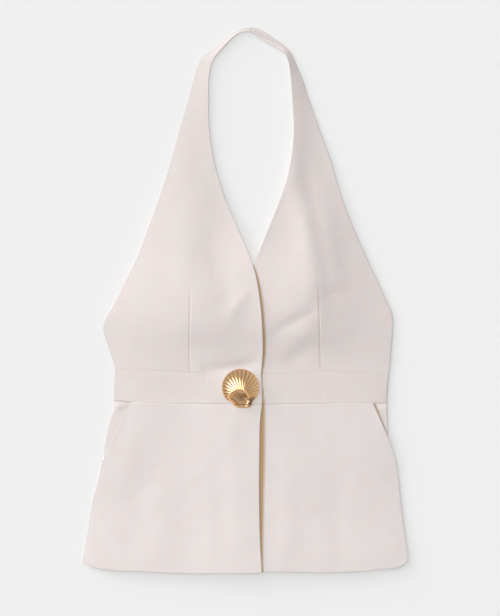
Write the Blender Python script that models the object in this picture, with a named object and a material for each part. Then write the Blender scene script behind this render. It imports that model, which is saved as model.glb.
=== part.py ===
"""A backless halter waistcoat top, laid flat on its back, with one scallop-shell button.

The neck loop is at +Y, the cloth faces up along +Z, and the wearer's right side is at -X. The origin is
on the underside of the back waistband, below the centre front. Sizes are in millimetres, and the meshes
are made in metres. Each cut piece is one closed wall: its underside is worked out from edge curves and a
height function, and its face is that underside moved out by the cloth's thickness.
"""

import math
from typing import NamedTuple

import bmesh
import bpy
import numpy as np

MM = 0.001

# Cloth, seams and layers
FRONT_CLOTH = 1.5
BACK_CLOTH = 1.2
POCKET_CLOTH = 1.0
SEAM_GAP = 0.3
LAYER_GAP = 0.5
EDGE_INSET = 1.6
EDGE_SHARE = 0.6
BACK_INSET = 1.0
POCKET_INSET = 1.5

# The body of the garment
BACK_TOP_Y = 70.0
BACK_TOP_DIP = 6.0
BACK_TOP_RAMP = 120.0
LAP_RAMP = 75.0
LAP_MARGIN = 3.0
LAP_TOP_Y = 270.0
LAP_TOP_RAMP = 80.0
LIFT_REACH = 45.0
BODY_CELL = 10.0
BODY_COLUMNS = 23
SEAM_FADE = 60.0

# Fullness: how far the front stands off the back along the middle, and where it fades out towards the straps
PUFF_HEIGHT = 4.3
PUFF_HALF_WIDTH = 186.0
PUFF_TOP_Y = 340.0
PUFF_RAMP = 260.0
HEM_LIFT = 1.4
HEM_LIFT_Y = -150.0
HEM_LIFT_RAMP = 90.0

# Pocket mouth
POCKET_FLAP_WIDTH = 18.0
POCKET_RAMP = 60.0
POCKET_DEPTH_BELOW = 11.0

# Bust darts, sewn from the waist seam up to the tip
DART_GROOVE = 0.6
DART_HALF_WIDTH = 2.0
DART_FADE = 12.0

# Scallop-shell button
BUTTON_X = -13.5
BUTTON_Y = 1.6
BUTTON_RADIUS = 24.1
BUTTON_RIBS = 20
BUTTON_HEIGHT = 9.7
BUTTON_RIM = 1.4
BUTTON_RIB_HEIGHT = 0.8
BUTTON_RIB_OUTSET = 0.45
BUTTON_HINGE_DROP = 17.2
BUTTON_FAN_FROM = -22.0
BUTTON_FAN_TO = 202.0
BUTTON_RINGS = 9
SAMPLES_PER_RIB = 4
HINGE_TOP_WIDTH = 31.0
HINGE_FOOT_WIDTH = 19.5
HINGE_TOP_Y = -13.0
HINGE_FOOT_Y = -26.4
HINGE_HEIGHT = 4.2


class Section(NamedTuple):
    """A row across a front bodice, from its neck edge to its armhole edge. The lifts are above the table."""

    neck_x: float
    neck_y: float
    neck_lift: float
    side_x: float
    side_y: float
    side_lift: float


class Point(NamedTuple):
    """A point of an edge curve, in plan."""

    x: float
    y: float


class Dome(NamedTuple):
    """A round fullness in the cloth, with its own reach to each side of its crest."""

    x: float
    y: float
    left: float
    right: float
    low: float
    high: float
    height: float
    foot: float = 19.0
    foot_ramp: float = 58.0


class Fold(NamedTuple):
    """A soft crease along a curve from start by way of middle to end. A negative rise is a trough."""

    start: Point
    middle: Point
    end: Point
    width: float
    rise: float


# Wearer's right front: it laps over the other and carries half of the neck strap
RIGHT_SECTIONS = [
    Section(13.5, 18.7, 0.0, -177.3, 26.0, 0.0),
    Section(14.6, 32.0, 0.3, -179.5, 35.9, 0.0),
    Section(15.6, 47.6, 0.8, -183.6, 48.2, 0.0),
    Section(15.6, 63.2, 1.0, -187.7, 60.6, 0.0),
    Section(14.8, 81.4, 1.0, -191.2, 71.6, 0.0),
    Section(13.4, 102.2, 0.9, -191.8, 81.4, 0.0),
    Section(10.4, 125.6, 0.8, -187.8, 93.7, 0.0),
    Section(6.0, 149.0, 0.6, -177.5, 111.3, 0.0),
    Section(-0.7, 171.1, 0.2, -163.2, 140.5, 0.0),
    Section(-10.1, 193.2, -0.4, -146.9, 174.3, 0.0),
    Section(-25.0, 227.0, -0.9, -130.7, 217.9, 0.0),
    Section(-39.3, 264.7, -0.7, -116.4, 258.2, 0.0),
    Section(-49.1, 302.4, 0.0, -103.4, 299.8, 0.0),
    Section(-54.1, 338.8, 0.5, -93.0, 337.5, 0.0),
    Section(-55.0, 373.9, 1.1, -82.0, 373.9, 0.0),
    Section(-54.6, 401.2, 1.3, -75.2, 401.2, 0.0),
    Section(-52.0, 419.0, 1.4, -69.2, 419.5, 0.0),
    Section(-49.6, 426.0, 1.4, -66.6, 427.5, 0.0),
    Section(-46.2, 431.3, 1.4, -60.0, 434.0, 0.0),
    Section(-41.8, 436.6, 1.4, -51.0, 440.6, 0.0),
    Section(-36.0, 443.0, 1.4, -42.6, 448.0, 0.0),
    Section(-29.5, 450.2, 1.5, -34.0, 454.2, 0.2),
    Section(-23.5, 456.0, 1.6, -26.4, 459.6, 0.6),
    Section(-17.4, 460.2, 1.8, -19.6, 464.2, 1.2),
    Section(-11.1, 462.7, 2.0, -12.1, 468.0, 1.8),
    Section(-5.5, 463.4, 2.2, -5.8, 469.2, 2.2),
    Section(-0.65, 462.9, 2.3, -0.65, 469.3, 2.3),
]

# Wearer's left front: its strap turns just before the join at the middle of the neck
LEFT_SECTIONS = [
    Section(-13.5, 18.7, 0.0, 178.9, 17.3, 0.0),
    Section(-14.0, 32.0, 0.0, 180.7, 30.7, 0.0),
    Section(-14.3, 47.6, 0.0, 181.9, 46.3, 0.0),
    Section(-14.3, 63.2, 0.0, 183.2, 61.9, 0.0),
    Section(-13.8, 81.4, 0.0, 184.3, 74.9, 0.0),
    Section(-12.2, 102.2, 0.0, 184.7, 85.9, 0.0),
    Section(-8.8, 124.3, 0.0, 182.7, 99.6, 0.0),
    Section(-2.9, 145.1, 0.0, 173.6, 119.7, 0.0),
    Section(4.7, 164.6, 0.4, 158.6, 152.2, 0.0),
    Section(14.3, 188.6, 2.0, 143.7, 184.7, 0.0),
    Section(29.9, 226.3, 3.0, 126.8, 225.0, 0.0),
    Section(43.6, 263.4, 3.8, 113.9, 262.1, 0.0),
    Section(52.0, 299.8, 4.6, 103.4, 298.5, 0.0),
    Section(55.4, 336.2, 5.2, 89.4, 336.2, 0.0),
    Section(53.8, 371.3, 5.4, 77.2, 371.3, 0.0),
    Section(52.0, 398.6, 5.2, 68.1, 398.6, 0.0),
    Section(49.7, 419.4, 4.8, 59.8, 419.4, 0.0),
    Section(47.4, 429.0, 4.4, 55.4, 429.4, 0.2),
    Section(45.0, 434.4, 4.0, 51.8, 436.4, 0.5),
    Section(41.2, 438.4, 3.6, 47.0, 442.0, 1.0),
    Section(34.6, 441.9, 2.8, 39.6, 448.2, 1.4),
    Section(27.5, 445.8, 2.4, 31.8, 453.6, 1.7),
    Section(18.2, 451.2, 2.2, 22.9, 460.0, 2.0),
    Section(10.6, 455.8, 2.2, 14.6, 465.4, 2.2),
    Section(4.2, 460.4, 2.3, 6.4, 468.6, 2.3),
    Section(-0.35, 462.9, 2.3, -0.35, 469.3, 2.3),
]

# Seam and hem lines, from -X to +X
RIGHT_UPPER_SEAM = [Point(-177.3, 26.0), Point(-118.3, 23.0), Point(-55.9, 20.3), Point(14.3, 18.7)]
RIGHT_LOWER_SEAM = [Point(-178.8, -15.5), Point(-118.3, -19.1), Point(-62.4, -19.8), Point(14.3, -20.8)]
LEFT_UPPER_SEAM = [
    Point(-14.0, 18.7),
    Point(16.9, 19.0),
    Point(58.5, 20.8),
    Point(89.7, 22.9),
    Point(128.7, 21.2),
    Point(178.9, 17.3),
]
LEFT_LOWER_SEAM = [Point(-14.0, -21.1), Point(18.2, -20.5), Point(89.7, -19.4), Point(176.8, -18.7)]
RIGHT_HEM = [
    Point(-218.7, -226.1),
    Point(-207.1, -231.5),
    Point(-192.0, -234.8),
    Point(-148.6, -237.5),
    Point(-88.4, -240.1),
    Point(-29.9, -240.0),
    Point(14.3, -239.5),
]
LEFT_HEM = [
    Point(-14.3, -239.1),
    Point(18.9, -238.0),
    Point(47.8, -238.4),
    Point(110.1, -239.1),
    Point(141.2, -237.6),
    Point(168.1, -234.9),
    Point(197.6, -229.3),
    Point(204.0, -224.1),
]

# Front and side edges below the upper waist seam, from the hem upwards
RIGHT_FRONT_EDGE = [
    Point(14.3, -239.5),
    Point(12.1, -198.1),
    Point(10.9, -144.8),
    Point(11.2, -79.8),
    Point(12.1, -40.8),
    Point(14.3, -20.8),
    Point(13.5, 18.7),
]
LEFT_FRONT_EDGE = [Point(-14.3, -239.1), Point(-13.5, -21.1), Point(-13.5, 18.7)]
RIGHT_SIDE_EDGE = [
    Point(-218.7, -226.1),
    Point(-218.6, -222.0),
    Point(-215.9, -208.5),
    Point(-211.0, -179.5),
    Point(-205.4, -144.8),
    Point(-197.6, -114.9),
    Point(-190.8, -77.2),
    Point(-183.3, -40.8),
    Point(-178.9, -27.8),
    Point(-178.8, -15.5),
    Point(-177.3, 26.0),
]
LEFT_SIDE_EDGE = [
    Point(204.0, -224.1),
    Point(203.8, -215.0),
    Point(201.4, -198.6),
    Point(195.0, -146.8),
    Point(191.0, -111.5),
    Point(187.8, -90.9),
    Point(180.2, -66.8),
    Point(177.4, -40.8),
    Point(176.8, -18.7),
    Point(178.9, 17.3),
]

# Slanted pocket mouths, from the waist seam down to the side seam
RIGHT_POCKET = [Point(-156.3, -18.0), Point(-190.9, -91.5)]
LEFT_POCKET = [Point(158.7, -19.0), Point(180.2, -66.8)]

# Dart lines, from the waist seam up to the tip
RIGHT_DART = [Point(-80.1, 20.9), Point(-79.3, 131.4)]
LEFT_DART = [Point(90.5, 22.8), Point(87.4, 137.3)]

# Waist seams of the back, where they don't show
BACK_UPPER_SEAM = [Point(-177.3, 26.0), Point(0.0, 20.0), Point(178.9, 17.3)]
BACK_LOWER_SEAM = [Point(-178.8, -15.5), Point(0.0, -20.5), Point(176.8, -18.7)]

BUST_DOMES = [
    Dome(-94.0, 158.0, 122.0, 55.0, 110.0, 140.0, 7.0, -60.0, 150.0),
    Dome(-48.0, 106.0, 74.0, 50.0, 58.0, 72.0, 3.6),
    Dome(70.0, 130.0, 90.0, 61.0, 80.0, 178.0, 8.0),
]

BODICE_FOLDS = [
    Fold(Point(42.0, 350.0), Point(56.0, 250.0), Point(94.0, 120.0), 24.0, 2.8),
    Fold(Point(62.0, 312.0), Point(88.0, 214.0), Point(110.0, 80.0), 11.0, -1.1),
    Fold(Point(56.0, 300.0), Point(88.0, 222.0), Point(108.0, 128.0), 22.0, 1.4),
    Fold(Point(18.0, 60.0), Point(46.0, 86.0), Point(88.0, 102.0), 8.0, -0.9),
    Fold(Point(30.0, 38.0), Point(56.0, 64.0), Point(84.0, 78.0), 9.0, 0.35),
    Fold(Point(42.0, 30.0), Point(68.0, 44.0), Point(90.0, 62.0), 9.0, -0.5),
    Fold(Point(-54.0, 210.0), Point(-42.0, 150.0), Point(-22.0, 86.0), 16.0, -1.1),
    Fold(Point(2.0, 136.0), Point(-17.0, 109.0), Point(-36.0, 84.0), 9.0, 0.8),
    Fold(Point(-66.0, 25.0), Point(-24.0, 23.5), Point(12.0, 35.0), 8.0, -1.6),
]

PEPLUM_FOLDS = [
    Fold(Point(-37.7, -62.0), Point(-38.0, -150.0), Point(-35.0, -246.0), 14.0, -0.5),
    Fold(Point(-112.0, -110.0), Point(-118.0, -180.0), Point(-122.0, -246.0), 18.0, 0.5),
    Fold(Point(48.0, -60.0), Point(46.0, -150.0), Point(50.0, -246.0), 14.0, 0.5),
    Fold(Point(106.0, -100.0), Point(110.0, -170.0), Point(114.0, -246.0), 14.0, -0.5),
]
FOLD_TAPER = 0.7
FOLD_STEPS = 9
FOLD_CLEAR_OF_LAP = 18.0


def smoothstep(value):
    """0 below 0, 1 above 1, and a smooth rise in between."""
    share = np.clip(value, 0.0, 1.0)
    return share * share * (3.0 - 2.0 * share)


def spline(at, knots, values):
    """A smooth curve through the values at rising knots. Values may have several columns."""
    at = np.asarray(at, float)
    knots = np.asarray(knots, float)
    values = np.asarray(values, float)
    slopes = np.gradient(values, knots, axis=0)
    index = np.clip(np.searchsorted(knots, at, side="right") - 1, 0, len(knots) - 2)
    span = knots[index + 1] - knots[index]
    t = np.clip((at - knots[index]) / span, 0.0, 1.0)
    if values.ndim > 1:
        t = t[..., None]
        span = span[..., None]
    square, cube = t**2, t**3
    return (
        (2 * cube - 3 * square + 1) * values[index]
        + (cube - 2 * square + t) * span * slopes[index]
        + (3 * square - 2 * cube) * values[index + 1]
        + (cube - square) * span * slopes[index + 1]
    )


def y_along(points, x):
    """Height in plan of a seam or hem at x. The points run towards +X."""
    return spline(x, [p.x for p in points], [p.y for p in points])


def x_along(points, y):
    """Place across the garment of an edge at y. The points run towards +Y."""
    return spline(y, [p.y for p in points], [p.x for p in points])


def straight_x(line, y):
    """Place across the garment of a straight line from line[0] to line[1], at y."""
    share = (y - line[0].y) / (line[1].y - line[0].y)
    return line[0].x + share * (line[1].x - line[0].x)


def hidden_edge_x(y):
    """The left front's edge, which lies below the right front, at y."""
    edge = LEFT_FRONT_EDGE[:-1] + [Point(s.neck_x, s.neck_y) for s in LEFT_SECTIONS[:12]]
    return x_along(edge, y)


def fold_height(fold, x, y):
    """Height of one soft crease over the plan."""
    t = np.linspace(0.0, 1.0, FOLD_STEPS)[:, None]
    corners = np.array([fold.start, fold.middle, fold.end])
    path = (1 - t) ** 2 * corners[0] + 2 * t * (1 - t) * corners[1] + t**2 * corners[2]
    nearest = np.full(np.shape(x), np.inf)
    along = np.zeros(np.shape(x))
    for step in range(FOLD_STEPS - 1):
        start, leg = path[step], path[step + 1] - path[step]
        share = np.clip(((x - start[0]) * leg[0] + (y - start[1]) * leg[1]) / (leg @ leg), 0, 1)
        distance = np.hypot(x - start[0] - share * leg[0], y - start[1] - share * leg[1])
        closer = distance < nearest
        nearest = np.where(closer, distance, nearest)
        along = np.where(closer, (step + share) / (FOLD_STEPS - 1), along)
    return fold.rise * np.sin(math.pi * along) ** FOLD_TAPER * np.exp(-((nearest / fold.width) ** 2))


def dome_height(dome, x, y):
    """Height of one round fullness over the plan."""
    across = (x - dome.x) / np.where(x < dome.x, dome.left, dome.right)
    along = (y - dome.y) / np.where(y < dome.y, dome.low, dome.high)
    clear_of_foot = smoothstep((y - dome.foot) / dome.foot_ramp)
    return dome.height * np.exp(-(across**2) - along**2) * clear_of_foot


def rise(x, y):
    """Height of the underside of the front's lower layer above the table, at any place in plan."""
    over_back = (BACK_CLOTH + SEAM_GAP) * (1 - smoothstep((y - BACK_TOP_Y) / BACK_TOP_RAMP))
    fullness = sum(dome_height(dome, x, y) for dome in BUST_DOMES)
    below_straps = smoothstep((PUFF_TOP_Y - y) / PUFF_RAMP)
    fullness = fullness + PUFF_HEIGHT * below_straps * np.clip(1 - (x / PUFF_HALF_WIDTH) ** 2, 0, 1)
    fullness = fullness + HEM_LIFT * smoothstep((HEM_LIFT_Y - y) / HEM_LIFT_RAMP)
    from_lap = np.maximum(x - 16.0, hidden_edge_x(np.minimum(y, 180.0)) - x)
    clear = smoothstep(from_lap / FOLD_CLEAR_OF_LAP)
    folds = sum(fold_height(fold, x, y) for fold in BODICE_FOLDS + PEPLUM_FOLDS)
    return over_back + np.maximum(fullness + folds * clear, 0.0)


def lap(x, y):
    """How much higher the right front lies where the left front runs below it."""
    inside = x - hidden_edge_x(np.minimum(y, 250.0))
    ramp = smoothstep((inside + LAP_MARGIN + LAP_RAMP) / LAP_RAMP)
    return (FRONT_CLOTH + LAYER_GAP) * ramp * smoothstep((LAP_TOP_Y - y) / LAP_TOP_RAMP)


def pocket_step(x, y, pocket, side):
    """How much higher a front peplum lies where the pocket piece runs below it. Side is -1 or 1."""
    past_mouth = side * (straight_x(pocket, y) - x)
    reach = POCKET_FLAP_WIDTH + 2.0
    step = 1 - smoothstep((past_mouth - reach) / POCKET_RAMP)
    below = smoothstep((y - pocket[1].y + POCKET_DEPTH_BELOW + POCKET_RAMP) / POCKET_RAMP)
    return (POCKET_CLOTH + SEAM_GAP) * step * below


def strap_rows(sections, cell):
    """The sections made smooth: an array of rows, about one cell apart, with a narrow first and last row."""
    table = np.array(sections)
    middles = (table[:, 0:3] + table[:, 3:6]) / 2
    steps = np.linalg.norm(np.diff(middles, axis=0), axis=1)
    knots = np.concatenate([[0.0], np.cumsum(steps)])
    places = [0.0, EDGE_INSET]
    for start, end in zip(knots[:-1], knots[1:]):
        count = max(1, round((end - start) / cell))
        places.extend(np.linspace(start, end, count + 1)[1:])
    places[2:] = [p for p in places[2:] if EDGE_INSET * 2 < p < knots[-1] - EDGE_INSET * 2]
    places += [knots[-1] - EDGE_INSET, knots[-1]]
    return spline(np.array(places), knots, table)


def column_shares(count, width, split=None):
    """Shares across a row of this width, with a narrow column inside each edge and beside a dart at split."""
    inset = min(EDGE_INSET / width, 0.15)
    if split is None:
        inner = np.linspace(inset, 1 - inset, count - 1)
    else:
        half = min(DART_HALF_WIDTH / width, 0.1)
        each = (count - 2) // 2
        first = np.linspace(inset, split - half, each)
        second = np.linspace(split + half, 1 - inset, each)
        inner = np.concatenate([first, [split], second])
    return np.concatenate([[0.0], inner, [1.0]])


def rim_share(rows, columns):
    """1 inside a panel and less on its rim, where the turned edge of the cloth is thinner."""
    share = np.ones((rows, columns))
    share[[0, -1], :] = EDGE_SHARE
    share[:, [0, -1]] = EDGE_SHARE
    return share


def outward(under):
    """Unit normals of the underside grid, turned so that most of them point up."""
    across = np.gradient(under, axis=1)
    along = np.gradient(under, axis=0)
    normal = np.cross(across, along)
    normal /= np.linalg.norm(normal, axis=2, keepdims=True)
    return normal if normal[..., 2].sum() > 0 else -normal


def add_object(name, mesh, material):
    """Links a mesh as an object with this material, smooth where it is round."""
    obj = bpy.data.objects.new(name, mesh)
    bpy.context.scene.collection.objects.link(obj)
    mesh.materials.append(material)
    mesh.shade_smooth()
    mesh.set_sharp_from_angle(angle=math.radians(50))
    return obj


def wall(name, under, thickness, material, level_end=False):
    """A closed cloth wall over a grid of underside points. A level end has its last row in one plane of X."""
    rows, columns = thickness.shape
    normal = outward(under)
    if level_end:
        normal[-1, :, 0] = 0.0
        normal[-1] /= np.linalg.norm(normal[-1], axis=1, keepdims=True)
    top = under + normal * thickness[..., None]
    bm = bmesh.new()
    low = [[bm.verts.new(p * MM) for p in row] for row in under]
    high = [[bm.verts.new(p * MM) for p in row] for row in top]
    for i in range(rows - 1):
        for j in range(columns - 1):
            bm.faces.new((low[i][j], low[i][j + 1], low[i + 1][j + 1], low[i + 1][j]))
            bm.faces.new((high[i][j], high[i + 1][j], high[i + 1][j + 1], high[i][j + 1]))
    for i in range(rows - 1):
        for j in (0, columns - 1):
            bm.faces.new((low[i][j], low[i + 1][j], high[i + 1][j], high[i][j]))
    for j in range(columns - 1):
        for i in (0, rows - 1):
            bm.faces.new((low[i][j], low[i][j + 1], high[i][j + 1], high[i][j]))
    bmesh.ops.recalc_face_normals(bm, faces=bm.faces)
    mesh = bpy.data.meshes.new(name)
    bm.to_mesh(mesh)
    bm.free()
    return add_object(name, mesh, material)


def front_bodice(name, sections, seam, dart, columns, over, material):
    """One front from the waist seam up, with half of the neck strap. Over is true for the lapping front.

    The sections give the middle of the wall, so the underside is half a thickness in from them where the
    cloth stands up.
    """
    rows = strap_rows(sections, BODY_CELL)
    neck, side = rows[:, 0:3], rows[:, 3:6]
    width = np.linalg.norm(side[:, :2] - neck[:, :2], axis=1)
    dart_x = straight_x(dart, np.minimum((neck[:, 1] + side[:, 1]) / 2, dart[1].y))
    span = np.maximum(np.abs(side[:, 0] - neck[:, 0]), 1.0)
    split = np.clip(np.abs(dart_x - neck[:, 0]) / span, 0.44, 0.56)
    shares = np.array([column_shares(columns, max(w, 12.0), s) for w, s in zip(width, split)])
    x = neck[:, None, 0] + shares * (side[:, None, 0] - neck[:, None, 0])
    y = neck[:, None, 1] + shares * (side[:, None, 1] - neck[:, None, 1])
    above_seam = (neck[:, 1] - neck[0, 1])[:, None]
    seam_bow = y_along(seam, x[0]) + SEAM_GAP / 2 - y[0]
    y = y + seam_bow * np.clip(1 - above_seam / SEAM_FADE, 0, 1) ** 2
    reach = np.minimum(width, LIFT_REACH)[:, None]
    power = 1 + np.clip((width - 20.0) / 40.0, 0, 1)[:, None]
    near_neck = np.clip(1 - shares * width[:, None] / reach, 0, 1) ** power
    z = neck[:, None, 2] * near_neck + side[:, None, 2] * (1 - near_neck) + rise(x, y)
    if over:
        z = z + lap(x, y)
    under = np.stack([x, y, z], axis=2)
    under[..., :2] -= FRONT_CLOTH / 2 * outward(under)[..., :2]
    under[-1, :, 0] = neck[-1, 0]
    below_tip = smoothstep((dart[1].y - y) / DART_FADE)
    thickness = FRONT_CLOTH * rim_share(*x.shape)
    middle = 1 + (columns - 2) // 2
    thickness[:, middle] -= DART_GROOVE * below_tip[:, middle]
    return wall(name, under, thickness, material, level_end=True)


def lower_panel(name, near_x, far_x, low_y, high_y, levels, columns, height, cloth, material):
    """A panel between two edges given as x at y, and two seams or hems given as y at x."""
    near_low, near_high = low_y(near_x(low_y.start)), high_y(near_x(high_y.start))
    far_low, far_high = low_y(far_x(low_y.end)), high_y(far_x(high_y.end))
    share = levels[:, None]
    near_y = near_low + share * (near_high - near_low)
    far_y = far_low + share * (far_high - far_low)
    left, right = near_x(near_y), far_x(far_y)
    across = column_shares(columns, abs(float(right[0, 0] - left[0, 0])))[None, :]
    x = left + across * (right - left)
    y = near_y + across * (far_y - near_y)
    low_bow = low_y(x[0]) - y[0]
    high_bow = high_y(x[-1]) - y[-1]
    y = y + low_bow * (1 - share) + high_bow * share
    thickness = cloth * rim_share(*x.shape)
    return wall(name, np.stack([x, y, height(x, y)], axis=2), thickness, material)


class Line:
    """A seam or hem moved by a small amount in y, with the y at which its two end edges are read."""

    def __init__(self, points, shift, start, end):
        self.points = points
        self.shift = shift
        self.start = start
        self.end = end

    def __call__(self, x):
        return y_along(self.points, x) + self.shift


def row_levels(height, cell, *exact):
    """Shares of a panel's height, about a cell apart, narrow at both ends and with rows at exact shares."""
    inset = EDGE_INSET / height
    stops = [inset, *exact, 1 - inset]
    levels = [0.0]
    for start, end in zip(stops[:-1], stops[1:]):
        count = max(1, math.ceil((end - start) * height / cell))
        levels.extend(np.linspace(start, end, count + 1)[:-1])
    return np.array([*levels, 1 - inset, 1.0])


def front_waistband(name, front, side, seams, over, material):
    """The band between the two waist seams of one front."""
    lower, upper = seams
    low = Line(lower, SEAM_GAP / 2, front[-2].y, side[-2].y)
    high = Line(upper, -SEAM_GAP / 2, front[-1].y, side[-1].y)
    levels = row_levels(front[-1].y - front[-2].y, 14.0)

    def height(x, y):
        return rise(x, y) + (lap(x, y) if over else 0.0)

    return lower_panel(
        name, lambda y: x_along(front, y), lambda y: x_along(side, y), low, high, levels, 14, height,
        FRONT_CLOTH, material,
    )


def front_peplum(name, front, side, seam, hem, pocket, over, material):
    """The skirt of one front, cut away along the slanted pocket mouth."""
    low = Line(hem, 0.0, front[0].y, side[0].y)
    high = Line(seam, -SEAM_GAP / 2, front[-2].y, pocket[0].y)
    sign = math.copysign(1.0, pocket[0].x)

    def side_x(y):
        return np.where(y > pocket[1].y, straight_x(pocket, y), x_along(side, np.minimum(y, pocket[1].y)))

    def height(x, y):
        return rise(x, y) + (lap(x, y) if over else 0.0) + pocket_step(x, y, pocket, sign)

    drop = pocket[0].y - side[0].y
    kink = (pocket[1].y - side[0].y) / drop
    levels = row_levels(drop, 15.0, kink)
    return lower_panel(
        name, lambda y: x_along(front, y), side_x, low, high, levels, 16, height, FRONT_CLOTH, material
    )


def pocket_piece(name, side, seam, pocket, material):
    """The hip piece of a pocket: it shows between the pocket mouth and the side seam."""
    sign = math.copysign(1.0, pocket[0].x)
    foot_y = pocket[1].y - POCKET_DEPTH_BELOW
    low = Line([Point(-300.0, foot_y), Point(300.0, foot_y)], 0.0, foot_y, foot_y)
    high = Line(seam, -SEAM_GAP / 2, pocket[0].y, side[-2].y)

    def hidden_x(y):
        return straight_x(pocket, y) - sign * POCKET_FLAP_WIDTH

    def side_x(y):
        return x_along(side, y) - sign * POCKET_INSET * smoothstep((pocket[1].y + 12.0 - y) / 12.0)

    def height(x, y):
        return np.full(x.shape, BACK_CLOTH + SEAM_GAP)

    levels = row_levels(pocket[0].y - foot_y, 14.0)
    return lower_panel(name, hidden_x, side_x, low, high, levels, 6, height, POCKET_CLOTH, material)


def back_panel(name, low, high, levels, columns, material):
    """A panel of the back, flat on the table, a little inside the front's side edges."""
    right_sections = [Point(s.side_x, s.side_y) for s in RIGHT_SECTIONS[1:5]]
    left_sections = [Point(s.side_x, s.side_y) for s in LEFT_SECTIONS[1:5]]
    right_side = RIGHT_SIDE_EDGE + right_sections
    left_side = LEFT_SIDE_EDGE + left_sections

    def height(x, y):
        return np.zeros(x.shape)

    return lower_panel(
        name,
        lambda y: x_along(right_side, y) + BACK_INSET,
        lambda y: x_along(left_side, y) - BACK_INSET,
        low, high, levels, columns, height, BACK_CLOTH, material,
    )


def back_bodice(material):
    """The low back, from the waist seam to its top edge below the shoulder blades."""
    top = [Point(-195.0, BACK_TOP_Y), Point(0.0, BACK_TOP_Y - BACK_TOP_DIP), Point(190.0, BACK_TOP_Y)]
    low = Line(BACK_UPPER_SEAM, SEAM_GAP / 2, 26.0, 17.3)
    high = Line(top, 0.0, BACK_TOP_Y, BACK_TOP_Y)
    return back_panel("back_bodice", low, high, row_levels(48.0, 16.0), 12, material)


def back_waistband(material):
    """The band of the back, between its waist seams."""
    low = Line(BACK_LOWER_SEAM, SEAM_GAP / 2, -15.5, -18.7)
    high = Line(BACK_UPPER_SEAM, -SEAM_GAP / 2, 26.0, 17.3)
    return back_panel("back_waistband", low, high, row_levels(40.0, 20.0), 12, material)


def back_peplum(material):
    """The skirt of the back. Its hem lies just inside the front hem."""
    corner_y = RIGHT_HEM[0].y + 2.0
    end_y = LEFT_HEM[-1].y + 2.0
    hem = [
        Point(RIGHT_HEM[0].x - 2.0, corner_y),
        *[Point(p.x, p.y + 2.0) for p in RIGHT_HEM[1:6]],
        *[Point(p.x, p.y + 2.0) for p in LEFT_HEM[2:7]],
        Point(LEFT_HEM[-1].x + 2.0, end_y),
    ]
    low = Line(hem, 0.0, corner_y, end_y)
    high = Line(BACK_LOWER_SEAM, -SEAM_GAP / 2, -15.5, -18.7)
    return back_panel("back_peplum", low, high, row_levels(215.0, 20.0), 24, material)


def shell_profile(share):
    """Height of the shell from its hinge, 0, to its rim, 1, as a share of the button's height."""
    return spline(share, [0.0, 0.12, 0.3, 0.5, 0.75, 0.92, 1.0], [0.30, 0.34, 0.80, 1.0, 0.80, 0.42, 0.16])


def shell_fan(base):
    """The ribbed fan of the button as a closed mesh, in the button's own plane, standing on base."""
    samples = BUTTON_RIBS * SAMPLES_PER_RIB
    angles = np.radians(np.linspace(BUTTON_FAN_FROM, BUTTON_FAN_TO, samples + 1))
    ribs = np.cos(np.linspace(0.0, 2 * math.pi * BUTTON_RIBS, samples + 1))
    shares = np.linspace(0.0, 1.0, BUTTON_RINGS)[1:]
    across, up = np.cos(angles), np.sin(angles)
    drop = BUTTON_HINGE_DROP - 4.0
    to_rim = drop * up + np.sqrt((drop * up) ** 2 - drop**2 + BUTTON_RADIUS**2)
    to_rim = to_rim + BUTTON_RIB_OUTSET * ribs
    hinge = np.array([BUTTON_X, BUTTON_Y - drop])
    bm = bmesh.new()
    rings = []
    for share in shares:
        height = BUTTON_RIM + (BUTTON_HEIGHT - BUTTON_RIM) * shell_profile(share)
        relief = BUTTON_RIB_HEIGHT * share * ribs
        rings.append(
            [
                bm.verts.new((x * MM, y * MM, z * MM))
                for x, y, z in zip(
                    hinge[0] + share * to_rim * across,
                    hinge[1] + share * to_rim * up,
                    base + height + relief,
                )
            ]
        )
    foot = [bm.verts.new((v.co.x, v.co.y, base * MM)) for v in rings[-1]]
    start_z = BUTTON_RIM + (BUTTON_HEIGHT - BUTTON_RIM) * float(shell_profile(0.0))
    top_hinge = bm.verts.new((hinge[0] * MM, hinge[1] * MM, (base + start_z) * MM))
    foot_hinge = bm.verts.new((hinge[0] * MM, hinge[1] * MM, base * MM))
    for j in range(samples):
        bm.faces.new((top_hinge, rings[0][j], rings[0][j + 1]))
        bm.faces.new((foot_hinge, foot[j + 1], foot[j]))
        bm.faces.new((rings[-1][j], foot[j], foot[j + 1], rings[-1][j + 1]))
        for inner, outer in zip(rings[:-1], rings[1:]):
            bm.faces.new((inner[j], outer[j], outer[j + 1], inner[j + 1]))
    for j in (0, samples):
        bm.faces.new((foot_hinge, top_hinge, *[ring[j] for ring in rings], foot[j]))
    bmesh.ops.triangulate(bm, faces=[f for f in bm.faces if len(f.verts) > 4])
    bmesh.ops.recalc_face_normals(bm, faces=bm.faces)
    mesh = bpy.data.meshes.new("shell_button")
    bm.to_mesh(mesh)
    bm.free()
    return mesh


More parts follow.
